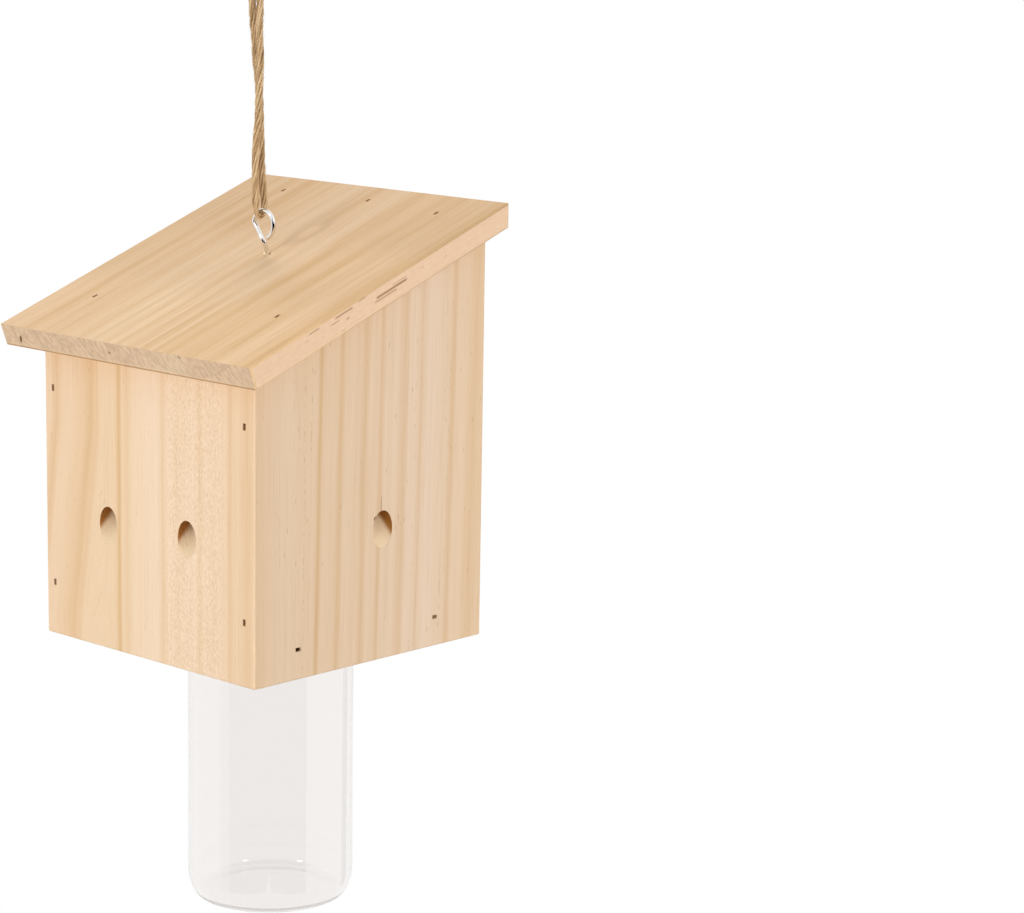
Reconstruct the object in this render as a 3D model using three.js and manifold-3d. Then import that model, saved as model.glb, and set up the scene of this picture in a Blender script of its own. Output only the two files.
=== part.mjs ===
// Carpenter bee trap: a sloping-roofed pine box on jute twine, with a clear jar screwed on below.
// Sizes are in millimetres. The box stands on z = 0 of its own group, its front faces -Y.
import * as THREE from 'three';
import { mergeVertices } from 'three/addons/utils/BufferGeometryUtils.js';
import ManifoldModule from 'manifold-3d';

const manifoldKit = await ManifoldModule();
manifoldKit.setup();
const { Manifold, Mesh: SolidMesh } = manifoldKit;

// Shared fits and cuts
const seamGap = 0.3;
const cutOverrun = 5;
const quarterTurn = Math.PI / 2;
const fullTurn = Math.PI * 2;
const weldDistance = 0.0005;

// Box boards
const houseWidth = 140;
const houseDepth = 140;
const boardThickness = 10;
const frontHeight = 137;
const houseCornerRadius = 0.8;
const houseFootChamfer = 0.6;
const roofSlope = THREE.MathUtils.degToRad(20);

// Roof board, its overhangs measured level from the walls
const roofThickness = 10.4;
const roofSideOverhang = 12.5;
const roofFrontOverhang = 14.5;
const roofBackOverhang = 2.4;
const roofShiftLeft = 0.8;
const roofTurn = THREE.MathUtils.degToRad(0.5);
const roofEdgeRadius = 0.7;

// Floor board, set up inside the box
const floorThickness = 10;
const floorRecess = 8.5;
const passageRadius = 17;

// Entrance holes, drilled up into the wood
const entranceDiameter = 12;
const entranceAngle = THREE.MathUtils.degToRad(45);
const frontEntranceSpacing = 52.8;
const frontLeftEntranceHeight = 56.7;
const frontRightEntranceHeight = 58.9;
const backEntranceHeight = 58;
const sideEntranceHeight = 59.3;
const sideEntranceBack = 6.3;

// Brads
const bradLength = 25;
const bradShank = 1.2;
const bradHeadWidth = 2.4;
const bradHeadDepth = 0.9;
const bradTipLength = 2;
const bradSink = 0.5;
const bradClearance = 0.3;
const frontBradLeftInset = 5.6;
const frontBradRightInset = 6.6;
const frontBradLeftLow = 24.1;
const frontBradRightLow = 28.7;
const frontBradHigh = 114;
const backBradInset = 6;
const backBradLow = 26.5;
const backBradHigh = 165;
const floorBradFrontInset = 25.5;
const floorBradBackInset = 30;
const roofBradLeftInset = 13.5;
const roofBradRightInset = 15.2;
const roofBradLeftFrontInset = 18.5;
const roofBradRightFrontInset = 26.6;
const roofBradLeftLean = THREE.MathUtils.degToRad(26);
const roofBradRightLean = THREE.MathUtils.degToRad(32);
const rearBradLeftInset = 17.7;
const rearBradMiddle = 4;
const rearBradRightInset = 18.6;
const rearBradLeftBackInset = 10.3;
const rearBradMiddleBackInset = 9.7;
const rearBradRightBackInset = 13.2;
const rearBradRightLean = THREE.MathUtils.degToRad(6);

// Screw eye
const eyeSide = -2.6;
const eyeBack = 3.7;
const eyeWireDiameter = 2.1;
const eyeOuterDiameter = 14.8;
const eyeNeckLength = 6.2;
const eyeEmbed = 9;
const ringTipAngle = -70;
const ringLegAngle = 174;
const eyeThreadDepth = 0.45;
const eyeThreadPitch = 1.7;
const eyeHoleClearance = 0.3;

// Twine
const twineDiameter = 3.6;
const twineGap = 0.3;
const twineSide = -2.6;
const twineSteps = 76;
const loopSteps = 26;
const knotWidth = 14.5;
const knotHeight = 12.5;
const loopHeight = 30;
const loopWidth = 18;

// Jar
const jarDiameter = 76.5;
const jarBack = 4;
const jarBottomDrop = 124.3;
const jarWall = 1.2;
const jarNeckRadius = 33;
const jarNeckWall = 1.9;
const jarNeckBottomDrop = 6.8;
const jarShoulderBottomDrop = 12.2;
const jarHeelWidth = 5.4;
const jarHeelHeight = 11.5;
const jarPushUp = 4;
const jarPushUpEdge = 3;

// Lid, liner and thread
const lidTopThickness = 1.6;
const lidHeight = 14;
const lidWall = 1.7;
const lidEdgeRadius = 1.2;
const linerThickness = 1;
const linerWidth = 4.6;
const threadPitch = 4.2;
const threadDepth = 1.4;
const threadRootWidth = 1.8;
const threadCrestWidth = 0.9;
const threadSideGap = 0.35;
const threadCrestGap = 0.5;
const threadCrestShy = 0.1;
const threadDrop = 1.3;
const jarThreadTurns = 1.1;
const lidThreadTurns = 1;
const ridgeSeat = 0.4;

// Lid screws
const lidScrewHeadRadius = 3.1;
const lidScrewHeadHeight = 1.8;
const lidScrewShankRadius = 1.4;
const lidScrewLength = 9;
const lidScrewTip = 2.5;
const lidScrewSlot = 0.8;
const lidScrewSlotDepth = 0.8;

// Facet counts
const roundSides = 64;
const holeSides = 40;
const smallSides = 16;
const wireSides = 10;
const twineSides = 8;
const curveSteps = 5;
const eyeSteps = 64;
const ringPointCount = 20;
const ridgeStepsPerTurn = 48;
const ridgeRunInSteps = 5;

// Values worked out from the sizes above
const halfWidth = houseWidth / 2;
const halfDepth = houseDepth / 2;
const slopeRise = Math.tan(roofSlope);
const roofNormal = new THREE.Vector3(0, -Math.sin(roofSlope), Math.cos(roofSlope));
const floorTop = floorRecess + floorThickness;
const floorMiddle = floorRecess + floorThickness / 2;
const innerHalfWidth = halfWidth - boardThickness;
const innerHalfDepth = halfDepth - boardThickness;
const roofFrontEdge = -halfDepth - roofFrontOverhang;
const roofBackEdge = halfDepth + roofBackOverhang;
const roofHalfWidth = halfWidth + roofSideOverhang;
const tallest = frontHeight + houseDepth * slopeRise;

function roofUnderside(back) {
  return frontHeight + (back + halfDepth) * slopeRise;
}

function roofTop(back) {
  return roofUnderside(back) + roofThickness / Math.cos(roofSlope);
}

// Materials
const pineFront = new THREE.MeshStandardMaterial({ color: 0xe9cfa6, roughness: 0.72, metalness: 0 });
const pineSide = new THREE.MeshStandardMaterial({ color: 0xdcc09a, roughness: 0.72, metalness: 0 });
const pineRoof = new THREE.MeshStandardMaterial({ color: 0xd9b98c, roughness: 0.75, metalness: 0 });
const pineFloor = new THREE.MeshStandardMaterial({ color: 0xe0c59c, roughness: 0.75, metalness: 0 });
const bradSteel = new THREE.MeshStandardMaterial({ color: 0x6f665a, roughness: 0.5, metalness: 0.8 });
const nickel = new THREE.MeshStandardMaterial({ color: 0xd8d6d2, roughness: 0.16, metalness: 1 });
const jute = new THREE.MeshStandardMaterial({ color: 0xc09a68, roughness: 0.95, metalness: 0 });
const lidPlastic = new THREE.MeshStandardMaterial({ color: 0xf0f0ee, roughness: 0.4, metalness: 0 });
const linerFoam = new THREE.MeshStandardMaterial({ color: 0xf6f6f4, roughness: 0.9, metalness: 0 });
const clearPlastic = new THREE.MeshStandardMaterial({
  color: 0xf2f2f2,
  roughness: 0.06,
  metalness: 0,
  transparent: true,
  opacity: 0.3,
});

// Solids in and out of the boolean kit
function solidFrom(geometry) {
  const bare = geometry.clone();
  bare.deleteAttribute('normal');
  bare.deleteAttribute('uv');
  const welded = mergeVertices(bare, weldDistance);
  return new Manifold(new SolidMesh({
    numProp: 3,
    vertProperties: Float32Array.from(welded.attributes.position.array),
    triVerts: Uint32Array.from(welded.index.array),
  }));
}

function geometryFrom(solid) {
  const mesh = solid.getMesh();
  const geometry = new THREE.BufferGeometry();
  geometry.setAttribute('position', new THREE.BufferAttribute(mesh.vertProperties, 3));
  geometry.setIndex(new THREE.BufferAttribute(mesh.triVerts, 1));
  const faceted = geometry.toNonIndexed();
  faceted.computeVertexNormals();
  return faceted;
}

function cutFrom(body, cutters) {
  let result = body;
  for (const cutter of cutters) {
    result = result.subtract(cutter);
  }
  return result;
}

// Whole part, with the hook's point of the hanging loop at its origin
const part = new THREE.Group();
part.name = 'carpenter_bee_trap';
const house = new THREE.Group();
part.add(house);

function addPiece(name, geometry, material) {
  const piece = new THREE.Mesh(geometry, material);
  piece.name = name;
  house.add(piece);
  return piece;
}

// Plain shapes used by several pieces
function block(low, high) {
  const size = new THREE.Vector3().subVectors(high, low);
  const geometry = new THREE.BoxGeometry(size.x, size.y, size.z);
  geometry.translate((low.x + high.x) / 2, (low.y + high.y) / 2, (low.z + high.z) / 2);
  return geometry;
}

function rod(radius, start, end, sides) {
  const along = new THREE.Vector3().subVectors(end, start);
  const geometry = new THREE.CylinderGeometry(radius, radius, along.length(), sides);
  const upright = new THREE.Vector3(0, 1, 0);
  const turn = new THREE.Quaternion().setFromUnitVectors(upright, along.clone().normalize());
  geometry.applyQuaternion(turn);
  const middle = new THREE.Vector3().addVectors(start, end).multiplyScalar(0.5);
  geometry.translate(middle.x, middle.y, middle.z);
  return geometry;
}

function turned(profile, sides) {
  const points = profile.map(([radius, height]) => new THREE.Vector2(radius, height));
  const geometry = new THREE.LatheGeometry(points, sides);
  geometry.rotateX(quarterTurn);
  return geometry;
}

function roundSection(radius, sides) {
  const points = [];
  for (let side = 0; side < sides; side += 1) {
    const angle = side / sides * fullTurn;
    points.push(new THREE.Vector2(Math.cos(angle) * radius, Math.sin(angle) * radius));
  }
  return new THREE.Shape(points);
}

function tubeAlong(points, radius, sides, steps) {
  const path = new THREE.CatmullRomCurve3(points, false, 'centripetal');
  return new THREE.ExtrudeGeometry(roundSection(radius, sides), { steps, extrudePath: path });
}

// Side outline in back and up, swept across the width
const sideOutlineTurn = new THREE.Matrix4().makeBasis(
  new THREE.Vector3(0, 1, 0),
  new THREE.Vector3(0, 0, 1),
  new THREE.Vector3(1, 0, 0),
);

function sweptAcross(outline, left, right, edge = 0) {
  const shape = new THREE.Shape(outline.map(([back, up]) => new THREE.Vector2(back, up)));
  const geometry = new THREE.ExtrudeGeometry(shape, {
    depth: right - left - 2 * edge,
    bevelEnabled: edge > 0,
    bevelThickness: edge,
    bevelSize: edge,
    bevelOffset: -edge,
    bevelSegments: 2,
  });
  geometry.translate(0, 0, left + edge);
  geometry.applyMatrix4(sideOutlineTurn);
  return geometry;
}

// Ridge wound on a wall, its ends run out into the wall
function helicalRidge({ wall, crest, rootWidth, crestWidth, pitch, firstTurn, lastTurn, height, seat }) {
  const outward = Math.sign(crest - wall);
  const root = wall - outward * seat;
  const steps = Math.round((lastTurn - firstTurn) * ridgeStepsPerTurn);
  const positions = [];
  const faces = [];
  const cornerCount = 4;
  for (let step = 0; step <= steps; step += 1) {
    const turn = firstTurn + (lastTurn - firstTurn) * step / steps;
    const rise = Math.min(1, step / ridgeRunInSteps, (steps - step) / ridgeRunInSteps);
    const low = wall - outward * seat / 2;
    const tip = low + (crest - low) * rise;
    const profile = [
      [root, -rootWidth / 2],
      [tip, -crestWidth / 2],
      [tip, crestWidth / 2],
      [root, rootWidth / 2],
    ];
    if (outward < 0) {
      profile.reverse();
    }
    const angle = turn * fullTurn;
    for (const [radius, up] of profile) {
      positions.push(Math.cos(angle) * radius, Math.sin(angle) * radius, height + turn * pitch + up);
    }
  }
  for (let step = 0; step < steps; step += 1) {
    for (let corner = 0; corner < cornerCount; corner += 1) {
      const next = (corner + 1) % cornerCount;
      const a = step * cornerCount + corner;
      const b = (step + 1) * cornerCount + corner;
      const c = (step + 1) * cornerCount + next;
      const d = step * cornerCount + next;
      faces.push(a, b, c, a, c, d);
    }
  }
  const end = steps * cornerCount;
  faces.push(0, 1, 2, 0, 2, 3);
  faces.push(end, end + 2, end + 1, end, end + 3, end + 2);
  const geometry = new THREE.BufferGeometry();
  geometry.setAttribute('position', new THREE.Float32BufferAttribute(positions, 3));
  geometry.setIndex(faces);
  return geometry;
}

// Brads: T-headed, driven from their head's middle in a given direction
function bradGeometry(clearance, sunk) {
  const halfHead = bradHeadWidth / 2 + clearance;
  const halfShank = bradShank / 2 + clearance;
  const headTop = sunk ? -bradSink - clearance : 0;
  const outline = [
    [-halfHead, headTop],
    [halfHead, headTop],
    [halfHead, bradHeadDepth + clearance],
    [halfShank, bradHeadDepth + clearance],
    [halfShank, bradLength - bradTipLength],
    [0, bradLength + clearance],
    [-halfShank, bradLength - bradTipLength],
    [-halfShank, bradHeadDepth + clearance],
    [-halfHead, bradHeadDepth + clearance],
  ];
  const shape = new THREE.Shape(outline.map(([across, down]) => new THREE.Vector2(across, down)));
  const depth = 2 * halfShank;
  const geometry = new THREE.ExtrudeGeometry(shape, { depth, bevelEnabled: false });
  geometry.translate(0, 0, -depth / 2);
  return geometry;
}

function bradPlacement(surfacePoint, direction, headDirection) {
  const down = direction.clone().normalize();
  const across = headDirection.clone().normalize();
  const thick = new THREE.Vector3().crossVectors(across, down);
  const matrix = new THREE.Matrix4().makeBasis(across, down, thick);
  matrix.setPosition(surfacePoint.clone().addScaledVector(down, bradSink));
  return matrix;
}

const brads = [];

function addBrad(name, surfacePoint, direction, headDirection) {
  brads.push({ name, matrix: bradPlacement(surfacePoint, direction, headDirection) });
}

const intoBack = new THREE.Vector3(0, 1, 0);
const intoFront = new THREE.Vector3(0, -1, 0);
const upright = new THREE.Vector3(0, 0, 1);
const alongRoof = new THREE.Vector3(0, Math.cos(roofSlope), Math.sin(roofSlope));

for (const [place, across, low] of [
  ['left', -halfWidth + frontBradLeftInset, frontBradLeftLow],
  ['right', halfWidth - frontBradRightInset, frontBradRightLow],
]) {
  addBrad(`front_brad_${place}_low`, new THREE.Vector3(across, -halfDepth, low), intoBack, upright);
  const highPlace = new THREE.Vector3(across, -halfDepth, frontBradHigh);
  addBrad(`front_brad_${place}_high`, highPlace, intoBack, upright);
}

for (const [side, sideName] of [[-1, 'left'], [1, 'right']]) {
  for (const [height, level] of [[backBradLow, 'low'], [backBradHigh, 'high']]) {
    const point = new THREE.Vector3(side * (halfWidth - backBradInset), halfDepth, height);
    addBrad(`back_brad_${sideName}_${level}`, point, intoFront, upright);
  }
  for (const [back, place] of [
    [-halfDepth + floorBradFrontInset, 'front'],
    [halfDepth - floorBradBackInset, 'back'],
  ]) {
    const point = new THREE.Vector3(side * halfWidth, back, floorMiddle);
    const inward = new THREE.Vector3(-side, 0, 0);
    addBrad(`floor_brad_${sideName}_${place}`, point, inward, intoBack);
  }
}

// Roof brads: each leans sideways or back from square to the board
const roofBrads = [
  ['front_left', -halfWidth + roofBradLeftInset, -halfDepth + roofBradLeftFrontInset, -roofBradLeftLean, 0],
  ['front_right', halfWidth - roofBradRightInset, -halfDepth + roofBradRightFrontInset, roofBradRightLean, 0],
  ['back_left', -halfWidth + rearBradLeftInset, halfDepth - rearBradLeftBackInset, 0, 0],
  ['back_middle', rearBradMiddle, halfDepth - rearBradMiddleBackInset, 0, 0],
  ['back_right', halfWidth - rearBradRightInset, halfDepth - rearBradRightBackInset, 0, rearBradRightLean],
];
for (const [place, across, back, sideLean, backLean] of roofBrads) {
  const downAngle = roofSlope + backLean;
  const direction = new THREE.Vector3(
    Math.sin(sideLean),
    Math.sin(downAngle) * Math.cos(sideLean),
    -Math.cos(downAngle) * Math.cos(sideLean),
  );
  const headDirection = new THREE.Vector3(0, Math.cos(downAngle), Math.sin(downAngle));
  addBrad(`roof_brad_${place}`, new THREE.Vector3(across, back, roofTop(back)), direction, headDirection);
}

const bradCutters = brads.map(({ matrix }) => {
  const geometry = bradGeometry(bradClearance, true);
  geometry.applyMatrix4(matrix);
  return solidFrom(geometry);
});

for (const { name, matrix } of brads) {
  const geometry = bradGeometry(0, false);
  geometry.applyMatrix4(matrix);
  addPiece(name, geometry, bradSteel);
}

// Entrance holes: each starts on a wall's outer face and climbs inward
const entrances = [
  [-frontEntranceSpacing / 2, -halfDepth, frontLeftEntranceHeight, 0, 1],
  [frontEntranceSpacing / 2, -halfDepth, frontRightEntranceHeight, 0, 1],
  [-frontEntranceSpacing / 2, halfDepth, backEntranceHeight, 0, -1],
  [frontEntranceSpacing / 2, halfDepth, backEntranceHeight, 0, -1],
  [-halfWidth, sideEntranceBack, sideEntranceHeight, 1, 0],
  [halfWidth, sideEntranceBack, sideEntranceHeight, -1, 0],
];
const entranceReach = boardThickness / Math.cos(entranceAngle) + entranceDiameter / 2 + cutOverrun;
const entranceCutters = entrances.map(([across, back, height, inX, inY]) => {
  const middle = new THREE.Vector3(across, back, height);
  const inward = new THREE.Vector3(
    inX * Math.cos(entranceAngle),
    inY * Math.cos(entranceAngle),
    Math.sin(entranceAngle),
  );
  const outer = middle.clone().addScaledVector(inward, -entranceDiameter / 2 - cutOverrun);
  const inner = middle.clone().addScaledVector(inward, entranceReach);
  return solidFrom(rod(entranceDiameter / 2, outer, inner, holeSides));
});

// Box outline with rounded upright corners and an eased foot, shared by the four walls
function houseOutline() {
  const shape = new THREE.Shape();
  const r = houseCornerRadius;
  shape.moveTo(-halfWidth + r, -halfDepth);
  shape.lineTo(halfWidth - r, -halfDepth);
  shape.absarc(halfWidth - r, -halfDepth + r, r, -quarterTurn, 0, false);
  shape.lineTo(halfWidth, halfDepth - r);
  shape.absarc(halfWidth - r, halfDepth - r, r, 0, quarterTurn, false);
  shape.lineTo(-halfWidth + r, halfDepth);
  shape.absarc(-halfWidth + r, halfDepth - r, r, quarterTurn, 2 * quarterTurn, false);
  shape.lineTo(-halfWidth, -halfDepth + r);
  shape.absarc(-halfWidth + r, -halfDepth + r, r, 2 * quarterTurn, 3 * quarterTurn, false);
  return shape;
}

const houseBody = new THREE.ExtrudeGeometry(houseOutline(), {
  depth: tallest + cutOverrun,
  curveSegments: 4,
  bevelEnabled: true,
  bevelThickness: houseFootChamfer,
  bevelSize: houseFootChamfer,
  bevelOffset: -houseFootChamfer,
  bevelSegments: 1,
});
houseBody.translate(0, 0, houseFootChamfer);
const houseSolid = solidFrom(houseBody);

// Everything above the walls' sloping top
const aboveReach = halfDepth + cutOverrun;
const aboveWalls = solidFrom(sweptAcross([
  [-aboveReach, roofUnderside(-aboveReach) - seamGap],
  [aboveReach, roofUnderside(aboveReach) - seamGap],
  [aboveReach, 2 * tallest],
  [-aboveReach, 2 * tallest],
], -halfWidth - cutOverrun, halfWidth + cutOverrun));

function wall(low, high) {
  const slab = solidFrom(block(low, high));
  const cutters = [aboveWalls, ...entranceCutters, ...bradCutters];
  return geometryFrom(cutFrom(houseSolid.intersect(slab), cutters));
}

const below = -cutOverrun;
const above = 2 * tallest;
const sideEnd = innerHalfDepth - seamGap;
addPiece('front_panel', wall(
  new THREE.Vector3(-halfWidth - cutOverrun, -halfDepth - cutOverrun, below),
  new THREE.Vector3(halfWidth + cutOverrun, -innerHalfDepth, above),
), pineFront);
addPiece('back_panel', wall(
  new THREE.Vector3(-halfWidth - cutOverrun, innerHalfDepth, below),
  new THREE.Vector3(halfWidth + cutOverrun, halfDepth + cutOverrun, above),
), pineFront);
addPiece('left_panel', wall(
  new THREE.Vector3(-halfWidth - cutOverrun, -sideEnd, below),
  new THREE.Vector3(-innerHalfWidth, sideEnd, above),
), pineSide);
addPiece('right_panel', wall(
  new THREE.Vector3(innerHalfWidth, -sideEnd, below),
  new THREE.Vector3(halfWidth + cutOverrun, sideEnd, above),
), pineSide);

// Floor, with the way down to the jar and the lid screws' holes
const floorHalfWidth = innerHalfWidth - seamGap;
const floorHalfDepth = innerHalfDepth - seamGap;
const passage = solidFrom(rod(
  passageRadius,
  new THREE.Vector3(0, jarBack, -floorTop),
  new THREE.Vector3(0, jarBack, floorTop + cutOverrun),
  holeSides,
));

const lidTop = floorRecess - seamGap;
const lidUnder = lidTop - lidTopThickness;
const lidBottom = lidTop - lidHeight;
const crestRadius = jarNeckRadius + threadDepth;
const lidInner = crestRadius + threadCrestGap;
const linerOuter = lidInner - seamGap;
const linerInner = linerOuter - linerWidth;
const lidScrewCircle = (passageRadius + linerInner) / 2;
const screwSpots = [];
for (let quarter = 0; quarter < 4; quarter += 1) {
  const angle = (quarter + 0.5) * quarterTurn;
  screwSpots.push([
    Math.cos(angle) * lidScrewCircle,
    jarBack + Math.sin(angle) * lidScrewCircle,
  ]);
}

function screwProfile(clearance) {
  const head = lidScrewHeadRadius + clearance;
  const shank = lidScrewShankRadius + clearance;
  const seat = -seamGap + clearance;
  return [
    [0, seat - lidScrewHeadHeight],
    [head * 0.7, seat - lidScrewHeadHeight],
    [head, seat - lidScrewHeadHeight / 2],
    [head, seat],
    [shank, seat],
    [shank, lidScrewLength - lidScrewTip + clearance],
    [0, lidScrewLength + clearance],
  ];
}

const screwHoles = screwSpots.map(([across, back]) => solidFrom(rod(
  lidScrewShankRadius + bradClearance,
  new THREE.Vector3(across, back, lidBottom),
  new THREE.Vector3(across, back, lidUnder + lidScrewLength + seamGap),
  smallSides,
)));

const floorBlock = solidFrom(block(
  new THREE.Vector3(-floorHalfWidth, -floorHalfDepth, floorRecess),
  new THREE.Vector3(floorHalfWidth, floorHalfDepth, floorTop),
));
const floorBoard = cutFrom(floorBlock, [passage, ...screwHoles, ...bradCutters]);
addPiece('floor_panel', geometryFrom(floorBoard), pineFloor);

// Roof board: square front end, plumb back end, nailed on a little askew
const roofEye = new THREE.Vector3(eyeSide, eyeBack, roofTop(eyeBack));
const roofFrontTop = [roofFrontEdge, roofTop(roofFrontEdge)];
const roofOutline = [
  roofFrontTop,
  [
    roofFrontTop[0] + roofThickness * Math.sin(roofSlope),
    roofFrontTop[1] - roofThickness * Math.cos(roofSlope),
  ],
  [roofBackEdge, roofUnderside(roofBackEdge)],
  [roofBackEdge, roofTop(roofBackEdge)],
];
const roofGeometry = sweptAcross(roofOutline, -roofHalfWidth, roofHalfWidth, roofEdgeRadius);
const roofMiddle = new THREE.Vector3(0, (roofFrontEdge + roofBackEdge) / 2, 0);
roofMiddle.z = roofUnderside(roofMiddle.y);
roofGeometry.translate(0, -roofMiddle.y, -roofMiddle.z);
roofGeometry.applyQuaternion(new THREE.Quaternion().setFromAxisAngle(roofNormal, roofTurn));
roofGeometry.translate(-roofShiftLeft, roofMiddle.y, roofMiddle.z);
const roofBoard = solidFrom(roofGeometry);
const eyeWireRadius = eyeWireDiameter / 2;
const eyeThreadRadius = eyeWireRadius + eyeThreadDepth;
const eyeHole = solidFrom(rod(
  eyeThreadRadius + eyeHoleClearance,
  roofEye.clone().addScaledVector(roofNormal, cutOverrun),
  roofEye.clone().addScaledVector(roofNormal, -eyeEmbed - seamGap),
  smallSides,
));
addPiece('roof_panel', geometryFrom(cutFrom(roofBoard, [eyeHole, ...bradCutters])), pineRoof);

// Screw eye: one bent wire, a straight leg up to the ring, its thread wound on the shank
const ringRadius = (eyeOuterDiameter - eyeWireDiameter) / 2;
const eyeNeck = roofEye.clone().addScaledVector(roofNormal, eyeNeckLength);
const ringCentre = eyeNeck.clone().add(new THREE.Vector3(0, 0, ringRadius + eyeWireRadius));

function ringPoint(degrees) {
  const angle = THREE.MathUtils.degToRad(degrees);
  return new THREE.Vector3(
    ringCentre.x + Math.cos(angle) * ringRadius,
    ringCentre.y,
    ringCentre.z + Math.sin(angle) * ringRadius,
  );
}

const eyePoints = [];
for (let step = 0; step <= ringPointCount; step += 1) {
  eyePoints.push(ringPoint(ringTipAngle + (ringLegAngle - ringTipAngle) * step / ringPointCount));
}
const legFoot = eyeNeck.clone().addScaledVector(roofNormal, eyeWireRadius * 0.4);
legFoot.x -= eyeWireRadius * 0.5;
for (const share of [0.35, 0.7, 1]) {
  eyePoints.push(ringPoint(ringLegAngle).lerp(legFoot, share));
}
eyePoints.push(eyeNeck.clone().addScaledVector(roofNormal, -eyeWireRadius));
eyePoints.push(roofEye.clone());
eyePoints.push(roofEye.clone().addScaledVector(roofNormal, -eyeEmbed + eyeWireDiameter));
const eyeWire = solidFrom(tubeAlong(eyePoints, eyeWireRadius, wireSides, eyeSteps));
const toRoofNormal = new THREE.Quaternion().setFromUnitVectors(upright, roofNormal);

const eyeThread = helicalRidge({
  wall: eyeWireRadius * 0.95,
  crest: eyeThreadRadius,
  rootWidth: eyeThreadPitch * 0.6,
  crestWidth: eyeThreadPitch * 0.15,
  pitch: eyeThreadPitch,
  firstTurn: 0,
  lastTurn: 3.6,
  height: -eyeEmbed + eyeWireDiameter,
  seat: eyeWireRadius * 0.4,
});
eyeThread.applyQuaternion(toRoofNormal);
eyeThread.translate(roofEye.x, roofEye.y, roofEye.z);
const eyePointGeometry = turned([
  [0, -eyeEmbed],
  [eyeWireRadius * 0.92, -eyeEmbed + eyeWireDiameter],
  [eyeWireRadius * 0.92, -eyeEmbed + 2 * eyeWireDiameter],
  [0, -eyeEmbed + 2 * eyeWireDiameter],
], wireSides);
eyePointGeometry.applyQuaternion(toRoofNormal);
eyePointGeometry.translate(roofEye.x, roofEye.y, roofEye.z);
const eyeSolid = eyeWire.add(solidFrom(eyePointGeometry)).add(solidFrom(eyeThread));
addPiece('screw_eye', geometryFrom(eyeSolid), nickel);

// Twine: down one leg, under the ring's top wire and up the other leg
const twineRadius = twineDiameter / 2;
const contactAngle = Math.acos(twineSide / ringRadius);
const twineContact = ringPoint(THREE.MathUtils.radToDeg(contactAngle));
const underWire = eyeWireRadius + twineGap + twineRadius;

// Height over the ring's wire, leg angle round the pair in degrees, half spread, and shift to the left
const twineRoute = [
  [100, 25, 1.98, 2.0],
  [94, 21, 1.98, 1.9],
  [87, 5, 1.98, 1.75],
  [81, -6, 1.98, 1.6],
  [74, -12, 1.98, 1.2],
  [68, -13, 1.98, 0.9],
  [59, -32, 1.98, 0.6],
  [50, -45, 1.98, 0.4],
  [42, -55, 1.98, 0.4],
  [33, -70, 1.98, 0.6],
  [25, -82, 1.98, 0.8],
  [17, -87, 1.98, 0.6],
  [10, -89, 2.2, 0.3],
  [4.5, -90, 2.85, 0],
];
const leftShift = new THREE.Vector3(-0.67, -0.74, 0);

function twineLeg(turn) {
  return twineRoute.map(([height, degrees, spread, shift]) => {
    const angle = THREE.MathUtils.degToRad(degrees + turn);
    const point = new THREE.Vector3(Math.cos(angle) * spread, Math.sin(angle) * spread, height);
    return point.addScaledVector(leftShift, shift).add(twineContact);
  });
}

const frontLeg = twineLeg(0);
const backLeg = twineLeg(180).reverse();
const underBend = [];
for (const degrees of [180, 216, 252, 288, 324, 360]) {
  const angle = THREE.MathUtils.degToRad(degrees);
  underBend.push(new THREE.Vector3(
    twineContact.x + Math.sin(angle) * underWire * Math.cos(contactAngle),
    twineContact.y + Math.cos(angle) * underWire,
    twineContact.z + Math.sin(angle) * underWire * Math.sin(contactAngle),
  ));
}
const twinePoints = [...frontLeg, ...underBend, ...backLeg];
addPiece('twine', tubeAlong(twinePoints, twineRadius, twineSides, twineSteps), jute);

// Knot and hanging loop above the legs
const legTop = new THREE.Vector3().addVectors(frontLeg[0], backLeg[backLeg.length - 1]).multiplyScalar(0.5);
const knotMiddle = legTop.clone();
knotMiddle.z += seamGap + knotHeight / 2;
const knotGeometry = new THREE.SphereGeometry(knotWidth / 2, smallSides, smallSides / 2);
knotGeometry.rotateX(quarterTurn);
knotGeometry.scale(1, 1, knotHeight / knotWidth);
knotGeometry.translate(knotMiddle.x, knotMiddle.y, knotMiddle.z);
const knotTrim = solidFrom(block(
  new THREE.Vector3(knotMiddle.x - knotWidth, knotMiddle.y - knotWidth, knotMiddle.z - knotHeight * 0.5),
  new THREE.Vector3(knotMiddle.x + knotWidth, knotMiddle.y + knotWidth, knotMiddle.z + knotHeight * 0.4),
));
addPiece('top_knot', geometryFrom(solidFrom(knotGeometry).intersect(knotTrim)), jute);

const knotTop = knotMiddle.z + knotHeight * 0.4;
const loopFoot = knotTop + seamGap;
const loopTop = loopFoot + loopHeight - twineRadius;
const loopShares = [
  [-0.2, 0],
  [-0.24, 0.12],
  [-0.4, 0.34],
  [-0.5, 0.6],
  [-0.44, 0.82],
  [-0.24, 0.96],
  [0, 1],
  [0.24, 0.96],
  [0.44, 0.82],
  [0.5, 0.6],
  [0.4, 0.34],
  [0.24, 0.12],
  [0.2, 0],
];
const loopSpan = loopWidth - twineDiameter;
const loopPoints = loopShares.map(([acrossShare, upShare]) => new THREE.Vector3(
  knotMiddle.x + acrossShare * loopSpan,
  knotMiddle.y,
  loopFoot + upShare * (loopTop - loopFoot),
));
addPiece('hanging_loop', tubeAlong(loopPoints, twineRadius, twineSides, loopSteps), jute);

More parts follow.
